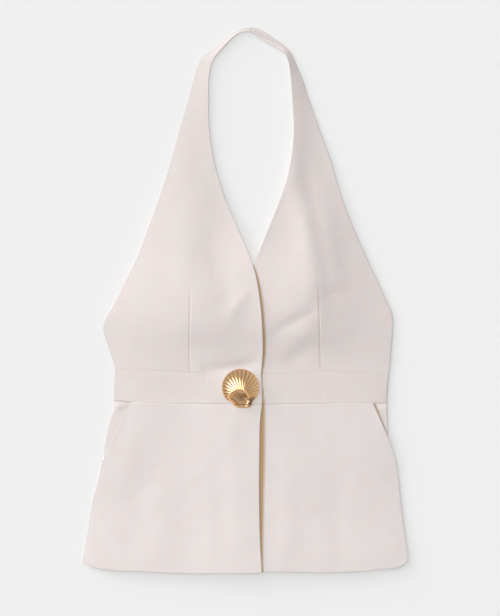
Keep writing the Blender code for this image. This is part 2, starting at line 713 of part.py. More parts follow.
def hinge_block(base):
    """The flared hinge plate below the fan, as a closed mesh that overlaps it."""
    bm = bmesh.new()
    corners = [
        (-HINGE_TOP_WIDTH / 2, HINGE_TOP_Y),
        (-HINGE_FOOT_WIDTH / 2, HINGE_FOOT_Y),
        (HINGE_FOOT_WIDTH / 2, HINGE_FOOT_Y),
        (HINGE_TOP_WIDTH / 2, HINGE_TOP_Y),
    ]
    foot = [bm.verts.new(((BUTTON_X + 1.2 + x) * MM, (BUTTON_Y + y) * MM, base * MM)) for x, y in corners]
    face = bm.faces.new(foot)
    raised = bmesh.ops.extrude_face_region(bm, geom=[face])["geom"]
    lifted = [v for v in raised if isinstance(v, bmesh.types.BMVert)]
    bmesh.ops.translate(bm, verts=lifted, vec=(0, 0, HINGE_HEIGHT * MM))
    top = [f for f in raised if isinstance(f, bmesh.types.BMFace)]
    bmesh.ops.bevel(
        bm, geom=[e for f in top for e in f.edges], offset=1.0 * MM, segments=2, affect="EDGES"
    )
    bmesh.ops.recalc_face_normals(bm, faces=bm.faces)
    mesh = bpy.data.meshes.new("hinge_plate")
    bm.to_mesh(mesh)
    bm.free()
    return mesh


def shell_button(material):
    """The button: a fan and its hinge plate joined into one solid, just above the cloth below it."""
    near = np.linspace(-1.0, 1.0, 25)
    x, y = np.meshgrid(BUTTON_X + near * BUTTON_RADIUS, BUTTON_Y + near * BUTTON_RADIUS)
    highest = float((rise(x, y) + lap(x, y)).max()) + FRONT_CLOTH
    base = highest + SEAM_GAP
    button = add_object("shell_button", shell_fan(base), material)
    plate = bpy.data.objects.new("hinge_plate", hinge_block(base))
    bpy.context.scene.collection.objects.link(plate)
    plate.hide_render = True
    plate.display_type = "WIRE"
    union = button.modifiers.new("Union", "BOOLEAN")
    union.operation = "UNION"
    union.object = plate
    return button


def finish(name, colour, roughness, metallic=0.0):
    """A Principled material with this colour, roughness and metallic value."""
    material = bpy.data.materials.new(name)
    material.use_nodes = True
    shader = material.node_tree.nodes["Principled BSDF"]
    shader.inputs["Base Color"].default_value = (*colour, 1.0)
    shader.inputs["Roughness"].default_value = roughness
    shader.inputs["Metallic"].default_value = metallic
    return material


def main():
    """Clears the scene and builds every piece of the garment."""
    for obj in list(bpy.data.objects):
        bpy.data.objects.remove(obj)
    crepe = finish("ivory_crepe", (0.80, 0.73, 0.71), 0.85)
    gold = finish("brushed_gold", (0.75, 0.50, 0.24), 0.28, 1.0)

    front_bodice(
        "front_bodice_right", RIGHT_SECTIONS, RIGHT_UPPER_SEAM, RIGHT_DART, BODY_COLUMNS, True, crepe
    )
    front_bodice("front_bodice_left", LEFT_SECTIONS, LEFT_UPPER_SEAM, LEFT_DART, BODY_COLUMNS, False, crepe)

    right_seams = (RIGHT_LOWER_SEAM, RIGHT_UPPER_SEAM)
    left_seams = (LEFT_LOWER_SEAM, LEFT_UPPER_SEAM)
    front_waistband("front_waistband_right", RIGHT_FRONT_EDGE, RIGHT_SIDE_EDGE, right_seams, True, crepe)
    front_waistband("front_waistband_left", LEFT_FRONT_EDGE, LEFT_SIDE_EDGE, left_seams, False, crepe)

    front_peplum(
        "front_peplum_right", RIGHT_FRONT_EDGE, RIGHT_SIDE_EDGE, RIGHT_LOWER_SEAM, RIGHT_HEM, RIGHT_POCKET,
        True, crepe,
    )
    front_peplum(
        "front_peplum_left", LEFT_FRONT_EDGE, LEFT_SIDE_EDGE, LEFT_LOWER_SEAM, LEFT_HEM, LEFT_POCKET,
        False, crepe,
    )
    pocket_piece("pocket_piece_right", RIGHT_SIDE_EDGE, RIGHT_LOWER_SEAM, RIGHT_POCKET, crepe)
    pocket_piece("pocket_piece_left", LEFT_SIDE_EDGE, LEFT_LOWER_SEAM, LEFT_POCKET, crepe)

    back_bodice(crepe)
    back_waistband(crepe)
    back_peplum(crepe)
    shell_button(gold)


main()
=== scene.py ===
"""The dressed halter waistcoat top: sewn crepe panels, laid flat, with a gold scallop-shell button.

The tables hold millimetres in plan, as the part's own source does, and meshes are made in metres.
Each cut piece becomes a fine closed wall with turned edges, ironed seams, darts and creases.
"""

import logging
import math
from collections.abc import Callable
from dataclasses import dataclass, field
from enum import Enum
from typing import NamedTuple

import bpy
import numpy as np
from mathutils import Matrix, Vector


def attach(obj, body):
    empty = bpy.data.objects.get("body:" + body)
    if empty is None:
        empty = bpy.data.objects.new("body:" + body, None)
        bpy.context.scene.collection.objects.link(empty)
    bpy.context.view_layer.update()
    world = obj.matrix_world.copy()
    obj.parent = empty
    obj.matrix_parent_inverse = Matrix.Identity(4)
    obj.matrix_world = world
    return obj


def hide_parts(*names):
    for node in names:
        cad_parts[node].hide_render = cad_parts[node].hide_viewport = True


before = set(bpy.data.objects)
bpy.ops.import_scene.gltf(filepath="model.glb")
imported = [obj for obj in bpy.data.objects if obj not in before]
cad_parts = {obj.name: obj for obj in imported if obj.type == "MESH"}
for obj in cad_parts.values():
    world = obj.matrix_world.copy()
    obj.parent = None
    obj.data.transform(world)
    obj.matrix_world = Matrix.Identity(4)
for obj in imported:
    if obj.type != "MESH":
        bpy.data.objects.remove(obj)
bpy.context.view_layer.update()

Grid = np.ndarray
EdgeLine = Callable[[Grid], Grid]

MM = 0.001
FRONT_CLOTH = 1.5
BACK_CLOTH = 1.2
POCKET_CLOTH = 1.0
CAD_GAP = 0.3
LAYER_GAP = 0.5
SEAM_GAP = 0.06
FINE_CELL = 2.1
COARSE_CELL = 4.0
SIDE_FALL = 0.45
SIDE_REACH = 30.0
POCKET_FLAP = 18.0
BELOW_MOUTH = 11.0
EDGE_STEPS = (0.25, 0.6, 1.1, 1.8, 2.8, 4.2, 6.0)
DART_STEPS = (0.45, 0.9, 1.5, 2.6, 4.2)

log = logging.getLogger("halter_top")


class Layer(Enum):
    """Which front lies on top where the two lap."""

    OVER = 1
    UNDER = 0


class Side(Enum):
    """The two long borders of a front piece, by their place among its four borders."""

    INNER = 0
    OUTER = 1


class Border(Enum):
    """How a cut piece ends: how far its edge is rounded, its roll, and the thickness left."""

    TURNED = (0.4, 0.03, 0.8)
    MOUTH = (0.4, 0.0, 0.88)
    SEAM = (0.8, 0.06, 0.72)
    SIDE = (0.8, 0.05, 0.72)
    WAIST_ABOVE = (0.6, 0.0, 0.93)
    WAIST_BELOW = (4.0, 0.0, 0.87)
    WAIST_LIT = (5.0, 0.0, 0.8)
    JOIN = (0.5, 0.0, 0.55)

    @property
    def radius(self) -> float:
        """How far in from the edge the face is rounded, in millimetres."""
        return self.value[0]

    @property
    def roll(self) -> float:
        """How high the cloth rolls just inside the edge, in millimetres."""
        return self.value[1]

    @property
    def edge_shade_weight(self) -> float:
        """How strongly painted shade darkens the cloth at this border, from 0 to 1."""
        return 1.0 if self in (Border.TURNED, Border.MOUTH, Border.SIDE) else 0.25

    @property
    def rest(self) -> float:
        """Share of the cloth's thickness that is left at the edge itself."""
        return self.value[2]


class Point(NamedTuple):
    """A point in plan, in millimetres."""

    x: float
    y: float


class Section(NamedTuple):
    """A row across a front bodice, from its neck edge to its armhole edge, with the lift of each."""

    neck_x: float
    neck_y: float
    neck_lift: float
    side_x: float
    side_y: float
    side_lift: float


def smoothstep(value: Grid) -> Grid:
    """A smooth rise from 0 to 1 as the value goes from 0 to 1.

    Args:
        value: numbers of any range.

    Returns:
        Numbers from 0 to 1.
    """
    share = np.clip(value, 0.0, 1.0)
    return share * share * (3.0 - 2.0 * share)


@dataclass(frozen=True)
class Ramp:
    """A smooth change between 0 and 1 that begins at a start and takes a length."""

    start: float
    length: float

    def up(self, value: Grid) -> Grid:
        """Rises from 0 at the start as the value grows."""
        return smoothstep((value - self.start) / self.length)

    def down(self, value: Grid) -> Grid:
        """Rises from 0 at the start as the value falls."""
        return smoothstep((self.start - value) / self.length)

    def line(self, value: Grid) -> Grid:
        """Rises in a straight line as the value grows."""
        return np.clip((value - self.start) / self.length, 0, 1)


def spline(at: Grid, knots: Grid, values: Grid) -> Grid:
    """A smooth curve through values at rising knots.

    Args:
        at: where to read the curve.
        knots: the rising places of the values.
        values: one row for each knot, with one or more columns.

    Returns:
        The curve's values, with a last axis for the columns if there are several.
    """
    at, knots, values = (np.asarray(a, float) for a in (at, knots, values))
    slopes = np.gradient(values, knots, axis=0)
    index = np.clip(np.searchsorted(knots, at, side="right") - 1, 0, len(knots) - 2)
    span = knots[index + 1] - knots[index]
    t = np.clip((at - knots[index]) / span, 0.0, 1.0)
    if values.ndim > 1:
        t, span = t[..., None], span[..., None]
    square, cube = t**2, t**3
    return (
        (2 * cube - 3 * square + 1) * values[index]
        + (cube - 2 * square + t) * span * slopes[index]
        + (3 * square - 2 * cube) * values[index + 1]
        + (cube - square) * span * slopes[index + 1]
    )


@dataclass(frozen=True)
class CutLine:
    """A drawn line of the pattern: a seam or hem that runs towards +X, or an edge that runs towards +Y."""

    points: tuple[Point, ...]

    def y_at(self, x: Grid) -> Grid:
        """Height in plan of a seam or hem at x."""
        return spline(x, [p.x for p in self.points], [p.y for p in self.points])

    def x_at(self, y: Grid) -> Grid:
        """Place across of an edge at y."""
        return spline(y, [p.y for p in self.points], [p.x for p in self.points])

    def straight_x(self, y: Grid) -> Grid:
        """Place across of the straight line from the first point to the last, at y."""
        first, last = self.points[0], self.points[-1]
        return first.x + (y - first.y) / (last.y - first.y) * (last.x - first.x)


def cut_line(*pairs: tuple[float, float]) -> CutLine:
    """A cut line through these points."""
    return CutLine(tuple(Point(*pair) for pair in pairs))


RIGHT_SECTIONS = [
    Section(13.5, 18.7, 0.0, -177.3, 26.0, 0.0),
    Section(14.6, 32.0, 0.3, -179.5, 35.9, 0.0),
    Section(15.6, 47.6, 0.8, -183.6, 48.2, 0.0),
    Section(15.6, 63.2, 1.0, -187.7, 60.6, 0.0),
    Section(14.8, 81.4, 1.0, -191.2, 71.6, 0.0),
    Section(13.4, 102.2, 0.9, -191.8, 81.4, 0.0),
    Section(10.4, 125.6, 0.8, -187.8, 93.7, 0.0),
    Section(6.0, 149.0, 0.6, -177.5, 111.3, 0.0),
    Section(-0.7, 171.1, 0.2, -163.2, 140.5, 0.0),
    Section(-10.1, 193.2, -0.4, -146.9, 174.3, 0.0),
    Section(-25.0, 227.0, -0.9, -130.7, 217.9, 0.0),
    Section(-39.3, 264.7, -0.7, -116.4, 258.2, 0.0),
    Section(-49.1, 302.4, 0.0, -103.4, 299.8, 0.0),
    Section(-54.1, 338.8, 0.5, -93.0, 337.5, 0.0),
    Section(-55.0, 373.9, 1.1, -82.0, 373.9, 0.0),
    Section(-54.6, 401.2, 1.3, -75.2, 401.2, 0.0),
    Section(-52.0, 419.0, 1.4, -69.2, 419.5, 0.0),
    Section(-49.6, 426.0, 1.4, -66.6, 427.5, 0.0),
    Section(-46.2, 431.3, 1.4, -60.0, 434.0, 0.0),
    Section(-41.8, 436.6, 1.4, -51.0, 440.6, 0.0),
    Section(-36.0, 443.0, 1.4, -42.6, 448.0, 0.0),
    Section(-29.5, 450.2, 1.5, -34.0, 454.2, 0.2),
    Section(-23.5, 456.0, 1.6, -26.4, 459.6, 0.6),
    Section(-17.4, 460.2, 1.8, -19.6, 464.2, 1.2),
    Section(-11.1, 462.7, 2.0, -12.1, 468.0, 1.8),
    Section(-5.5, 463.4, 2.2, -5.8, 469.2, 2.2),
    Section(-0.55, 462.9, 2.3, -0.55, 469.3, 2.3),
]

LEFT_SECTIONS = [
    Section(-13.5, 18.7, 0.0, 178.9, 17.3, 0.0),
    Section(-14.0, 32.0, 0.0, 180.7, 30.7, 0.0),
    Section(-14.3, 47.6, 0.0, 181.9, 46.3, 0.0),
    Section(-14.3, 63.2, 0.0, 183.2, 61.9, 0.0),
    Section(-13.8, 81.4, 0.0, 184.3, 74.9, 0.0),
    Section(-12.2, 102.2, 0.0, 184.7, 85.9, 0.0),
    Section(-8.8, 124.3, 0.0, 182.7, 99.6, 0.0),
    Section(-2.9, 145.1, 0.0, 173.6, 119.7, 0.0),
    Section(4.7, 164.6, 0.4, 158.6, 152.2, 0.0),
    Section(14.3, 188.6, 2.0, 143.7, 184.7, 0.0),
    Section(29.9, 226.3, 3.0, 126.8, 225.0, 0.0),
    Section(43.6, 263.4, 3.8, 113.9, 262.1, 0.0),
    Section(52.0, 299.8, 4.6, 103.4, 298.5, 0.0),
    Section(55.4, 336.2, 5.2, 89.4, 336.2, 0.0),
    Section(53.8, 371.3, 5.4, 77.2, 371.3, 0.0),
    Section(52.0, 398.6, 5.2, 68.1, 398.6, 0.0),
    Section(49.7, 419.4, 4.8, 59.8, 419.4, 0.0),
    Section(47.4, 429.0, 4.4, 55.4, 429.4, 0.2),
    Section(45.0, 434.4, 4.0, 51.8, 436.4, 0.5),
    Section(41.2, 438.4, 3.6, 47.0, 442.0, 1.0),
    Section(34.6, 441.9, 2.8, 39.6, 448.2, 1.4),
    Section(27.5, 445.8, 2.4, 31.8, 453.6, 1.7),
    Section(18.2, 451.2, 2.2, 22.9, 460.0, 2.0),
    Section(10.6, 455.8, 2.2, 14.6, 465.4, 2.2),
    Section(4.2, 460.4, 2.3, 6.4, 468.6, 2.3),
    Section(-0.45, 462.9, 2.3, -0.45, 469.3, 2.3),
]

RIGHT_UPPER_SEAM = cut_line((-177.3, 26.0), (-118.3, 23.0), (-55.9, 20.3), (14.3, 18.7))
RIGHT_LOWER_SEAM = cut_line((-178.8, -15.5), (-118.3, -19.1), (-62.4, -19.8), (14.3, -20.8))
LEFT_UPPER_SEAM = cut_line(
    (-14.0, 18.7), (16.9, 19.0), (58.5, 20.8), (89.7, 22.9), (128.7, 21.2), (178.9, 17.3)
)
LEFT_LOWER_SEAM = cut_line((-14.0, -21.1), (18.2, -20.5), (89.7, -19.4), (176.8, -18.7))
RIGHT_HEM = cut_line(
    (-218.7, -226.1), (-207.1, -231.5), (-192.0, -234.8), (-148.6, -237.5), (-88.4, -240.1),
    (-29.9, -240.0), (14.3, -239.5),
)
LEFT_HEM = cut_line(
    (-14.3, -239.1), (18.9, -238.0), (47.8, -238.4), (110.1, -239.1), (141.2, -237.6), (168.1, -234.9),
    (197.6, -229.3), (204.0, -224.1),
)
RIGHT_FRONT_EDGE = cut_line(
    (14.3, -239.5), (12.1, -198.1), (10.9, -144.8), (11.2, -79.8), (12.1, -40.8), (14.3, -20.8),
    (13.5, 18.7),
)
LEFT_FRONT_EDGE = cut_line((-14.3, -239.1), (-13.5, -21.1), (-13.5, 18.7))
RIGHT_SIDE_EDGE = cut_line(
    (-218.7, -226.1), (-218.6, -222.0), (-215.9, -208.5), (-211.0, -179.5), (-205.4, -144.8),
    (-197.6, -114.9), (-190.8, -77.2), (-183.3, -40.8), (-178.9, -27.8), (-178.8, -15.5), (-177.3, 26.0),
)
LEFT_SIDE_EDGE = cut_line(
    (204.0, -224.1), (203.8, -215.0), (201.4, -198.6), (195.0, -146.8), (191.0, -111.5), (187.8, -90.9),
    (180.2, -66.8), (177.4, -40.8), (176.8, -18.7), (178.9, 17.3),
)
RIGHT_POCKET = cut_line((-156.3, -18.0), (-190.9, -91.5))
LEFT_POCKET = cut_line((158.7, -19.0), (180.2, -66.8))
RIGHT_DART = cut_line((-80.1, 20.9), (-79.3, 131.4))
LEFT_DART = cut_line((90.5, 22.8), (87.4, 137.3))
BACK_UPPER_SEAM = cut_line((-177.3, 26.0), (0.0, 20.0), (178.9, 17.3))
BACK_LOWER_SEAM = cut_line((-178.8, -15.5), (0.0, -20.5), (176.8, -18.7))
BACK_TOP = cut_line((-195.0, 70.0), (0.0, 64.0), (190.0, 70.0))



def neck_points(sections: list[Section]) -> tuple[Point, ...]:
    """The neck edge's points of some sections."""
    return tuple(Point(section.neck_x, section.neck_y) for section in sections)


def side_points(sections: list[Section]) -> tuple[Point, ...]:
    """The side edge's points of some sections."""
    return tuple(Point(section.side_x, section.side_y) for section in sections)


LAP_EDGE = CutLine(RIGHT_FRONT_EDGE.points[:-1] + neck_points(RIGHT_SECTIONS[:11]))
HIDDEN_EDGE = CutLine(LEFT_FRONT_EDGE.points[:-1] + neck_points(LEFT_SECTIONS[:12]))
BACK_RIGHT_EDGE = CutLine(RIGHT_SIDE_EDGE.points + side_points(RIGHT_SECTIONS[1:5]))
BACK_LEFT_EDGE = CutLine(LEFT_SIDE_EDGE.points + side_points(LEFT_SECTIONS[1:5]))


@dataclass(frozen=True)
class Dome:
    """A round fullness in the cloth, with its own reach to each side of its crest."""

    x: float
    y: float
    left: float
    right: float
    low: float
    high: float
    rise: float
    foot: Ramp = Ramp(19.0, 58.0)

    def height(self, x: Grid, y: Grid) -> Grid:
        """Its height over the plan.

        Args:
            x: places across, in millimetres.
            y: places up, in millimetres.

        Returns:
            Heights in millimetres.
        """
        across = (x - self.x) / np.where(x < self.x, self.left, self.right)
        along = (y - self.y) / np.where(y < self.y, self.low, self.high)
        return self.rise * np.exp(-(across**2) - along**2) * self.foot.up(y)


@dataclass(frozen=True)
class Crease:
    """A soft crease along a curve from start by way of middle to end. A negative rise is a trough."""

    start: tuple[float, float]
    middle: tuple[float, float]
    end: tuple[float, float]
    width: float
    rise: float
    taper: float = 0.7
    steps: int = 13

    def height(self, x: Grid, y: Grid) -> Grid:
        """Its height over the plan.

        Args:
            x: places across, in millimetres.
            y: places up, in millimetres.

        Returns:
            The crease's height at each place.
        """
        t = np.linspace(0.0, 1.0, self.steps)[:, None]
        a, b, c = (np.array(p, float) for p in (self.start, self.middle, self.end))
        path = (1 - t) ** 2 * a + 2 * t * (1 - t) * b + t**2 * c
        nearest = np.full(np.shape(x), np.inf)
        along = np.zeros(np.shape(x))
        for step in range(self.steps - 1):
            start, leg = path[step], path[step + 1] - path[step]
            share = np.clip(((x - start[0]) * leg[0] + (y - start[1]) * leg[1]) / (leg @ leg), 0, 1)
            distance = np.hypot(x - start[0] - share * leg[0], y - start[1] - share * leg[1])
            closer = distance < nearest
            nearest = np.where(closer, distance, nearest)
            along = np.where(closer, (step + share) / (self.steps - 1), along)
        return self.rise * np.sin(math.pi * along) ** self.taper * np.exp(-((nearest / self.width) ** 2))


@dataclass(frozen=True)
class ClothNoise:
    """Slight unevenness of ironed cloth: smooth seeded noise over the plan."""

    cell: float
    rise: float
    seed: int
    count: int = 96
    start: float = -300.0

    def height(self, x: Grid, y: Grid) -> Grid:
        """Its height over the plan.

        Args:
            x: places across, in millimetres.
            y: places up, in millimetres.

        Returns:
            The noise's height at each place.
        """
        table = np.random.default_rng(self.seed).uniform(-1.0, 1.0, (self.count, self.count))
        u, v = (x - self.start) / self.cell, (y - self.start) / self.cell
        i, j = np.floor(u).astype(int), np.floor(v).astype(int)
        s, t = smoothstep(u - i), smoothstep(v - j)
        left, right = i % self.count, (i + 1) % self.count
        near, far = j % self.count, (j + 1) % self.count
        low = table[left, near] * (1 - s) + table[right, near] * s
        high = table[left, far] * (1 - s) + table[right, far] * s
        return self.rise * (low * (1 - t) + high * t)


@dataclass(frozen=True)
class Drape:
    """How high the front's layers lie, everywhere in plan."""

    domes: tuple[Dome, ...] = (
        Dome(-94.0, 158.0, 122.0, 55.0, 110.0, 140.0, 7.0, Ramp(-60.0, 150.0)),
        Dome(-48.0, 106.0, 74.0, 50.0, 58.0, 72.0, 3.6),
        Dome(70.0, 130.0, 90.0, 61.0, 80.0, 178.0, 8.0),
    )
    folds: tuple[Crease, ...] = (
        Crease((42.0, 350.0), (56.0, 250.0), (94.0, 120.0), 24.0, 2.8),
        Crease((62.0, 312.0), (88.0, 214.0), (110.0, 80.0), 11.0, -1.1),
        Crease((56.0, 300.0), (88.0, 222.0), (108.0, 128.0), 22.0, 1.4),
        Crease((18.0, 60.0), (46.0, 86.0), (88.0, 102.0), 8.0, -0.9),
        Crease((30.0, 38.0), (56.0, 64.0), (84.0, 78.0), 9.0, 0.35),
        Crease((42.0, 30.0), (68.0, 44.0), (90.0, 62.0), 9.0, -0.5),
        Crease((-54.0, 210.0), (-42.0, 150.0), (-22.0, 86.0), 16.0, -1.1),
        Crease((2.0, 136.0), (-17.0, 109.0), (-36.0, 84.0), 9.0, 0.8),
        Crease((-66.0, 25.0), (-24.0, 23.5), (12.0, 35.0), 8.0, -1.6),
        Crease((-37.7, -62.0), (-38.0, -150.0), (-35.0, -246.0), 14.0, -0.5),
        Crease((-112.0, -110.0), (-118.0, -180.0), (-122.0, -246.0), 18.0, 0.5),
        Crease((48.0, -60.0), (46.0, -150.0), (50.0, -246.0), 14.0, 0.5),
        Crease((106.0, -100.0), (110.0, -170.0), (114.0, -246.0), 14.0, -0.5),
    )
    noise: tuple[ClothNoise, ...] = (ClothNoise(21.0, 0.16, 3), ClothNoise(9.0, 0.05, 5))
    past_back: Ramp = Ramp(70.0, 120.0)
    puff: float = 4.3
    puff_body: Ramp = Ramp(340.0, 260.0)
    puff_width: float = 186.0
    flare: float = 0.16
    flare_from: float = -30.0
    flare_length: float = 250.0
    hem_lift: float = 1.4
    hem: Ramp = Ramp(-150.0, 90.0)
    lap_ramp: float = 75.0
    lap_margin: float = 3.0
    lap_below: Ramp = Ramp(270.0, 80.0)
    hidden_top: float = 250.0
    pocket_ramp: float = 60.0
    pocket_margin: float = 2.0

    def rise(self, x: Grid, y: Grid) -> Grid:
        """Height of the underside of the front's lower layer above the table.

        Args:
            x: places across, in millimetres.
            y: places up, in millimetres.

        Returns:
            Heights in millimetres.
        """
        over_back = (BACK_CLOTH + CAD_GAP) * (1 - self.past_back.up(y))
        fullness = sum(dome.height(x, y) for dome in self.domes)
        reach = self.puff_width + self.flare * np.clip(self.flare_from - y, 0, self.flare_length)
        fullness = fullness + self.puff * self.puff_body.down(y) * np.clip(1 - (x / reach) ** 2, 0, 1)
        fullness = fullness + self.hem_lift * self.hem.down(y)
        folds = sum(fold.height(x, y) for fold in self.folds)
        return over_back + np.maximum(fullness + folds, 0.0)

    def relief(self, x: Grid, y: Grid) -> Grid:
        """Fine unevenness that the face of the cloth has on top of the layers' own height."""
        return sum(noise.height(x, y) for noise in self.noise)

    def lap(self, x: Grid, y: Grid) -> Grid:
        """How much higher the right front lies where the left front runs below it.

        Args:
            x: places across, in millimetres.
            y: places up, in millimetres.

        Returns:
            Heights in millimetres.
        """
        inside = x - HIDDEN_EDGE.x_at(np.minimum(y, self.hidden_top))
        ramp = smoothstep((inside + self.lap_margin + self.lap_ramp) / self.lap_ramp)
        return (FRONT_CLOTH + LAYER_GAP) * ramp * self.lap_below.down(y)

    def pocket_step(self, x: Grid, y: Grid, pocket: CutLine) -> Grid:
        """How much higher a front peplum lies where the hip piece runs below it.

        Args:
            x: places across, in millimetres.
            y: places up, in millimetres.
            pocket: the slanted mouth, from the waist down.

        Returns:
            Heights in millimetres.
        """
        sign = math.copysign(1.0, pocket.points[0].x)
        past_mouth = sign * (pocket.straight_x(y) - x)
        step = 1 - smoothstep((past_mouth - POCKET_FLAP - self.pocket_margin) / self.pocket_ramp)
        below = smoothstep((y - pocket.points[1].y + BELOW_MOUTH + self.pocket_ramp) / self.pocket_ramp)
        return (POCKET_CLOTH + CAD_GAP) * step * below


DRAPE = Drape()


@dataclass(frozen=True)
class LapShade:
    """The warm shade that shows on the lower front beside the lap, from the foot of the V to the hem."""

    edge: CutLine
    widths: CutLine
    edge_span: tuple[float, float] = (-239.0, 215.0)
    top: Ramp = Ramp(172.0, 12.0)
    softness: float = 1.6
    least: float = 0.4

    def depth(self, x: Grid, y: Grid) -> Grid:
        """How deep in the lap's crease each place of the lower front lies.

        Args:
            x: places across, in millimetres.
            y: places up, in millimetres.

        Returns:
            Shares from 0 to 1.
        """
        past = x - self.edge.x_at(np.clip(y, *self.edge_span))
        low, high = self.widths.points[0].y, self.widths.points[-1].y
        width = np.maximum(self.widths.x_at(np.clip(y, low, high)), self.least)
        return smoothstep(self.softness - self.softness * past / width) * self.top.down(y)


LAP_SHADE = LapShade(
    LAP_EDGE,
    cut_line(
        (1.6, -229.0), (4.7, -198.0), (8.0, -136.0), (9.5, -74.6), (8.0, -37.0), (5.0, -21.3), (2.2, -1.8),
        (1.8, 11.2), (1.6, 19.0), (3.6, 32.0), (4.6, 47.6), (4.8, 63.0), (4.2, 102.0), (4.0, 128.0),
        (2.8, 146.0), (0.6, 161.0),
    ),
)


@dataclass(frozen=True)
class MouthShade:
    """The shade in a pocket's mouth: how far out it reaches at the mouth's top, and how deep it is."""

    width: float
    strength: float
    top_share: float = 1.15
    least_share: float = 0.25

    def depth(self, x: Grid, y: Grid, pocket: CutLine) -> Grid:
        """How deep in a pocket's mouth a place of the hip piece lies.

        Args:
            x: places across, in millimetres.
            y: places up, in millimetres.
            pocket: the slanted mouth, from the waist down.

        Returns:
            Shares from 0 to the shade's strength.
        """
        sign = math.copysign(1.0, pocket.points[0].x)
        past = sign * (x - pocket.straight_x(y))
        down = (pocket.points[0].y - y) / (pocket.points[0].y - pocket.points[1].y)
        reach = self.width * np.clip(self.top_share - down, self.least_share, 1.0)
        return self.strength * np.clip(1.0 - past / reach, 0.0, 1.0)


def edge_stops(length: float, cell: float, fine: tuple[float, ...]) -> Grid:
    """Places along a length, close together near both ends.

    Args:
        length: the length, in millimetres.
        cell: the wanted distance between places in the middle.
        fine: distances from each end, rising.

    Returns:
        Shares of the length, from 0 to 1.
    """
    count = max(2, round((length - 2 * fine[-1]) / cell))
    middle = np.linspace(fine[-1], length - fine[-1], count + 1)[1:-1]
    stops = [0.0, *fine, *middle, *(length - f for f in reversed(fine)), length]
    return np.array(stops) / length


@dataclass(frozen=True)
class SoftEdge:
    """How the cloth's face falls away towards a border: the side, the fall at the border and its reach."""

    side: Side
    fall: Grid | float
    reach: float

    def drop(self, distances: list[Grid]) -> Grid:
        """How much lower the face lies, from the distances to the four borders."""
        return self.fall * np.clip(1 - distances[self.side.value] / self.reach, 0, 1) ** 2


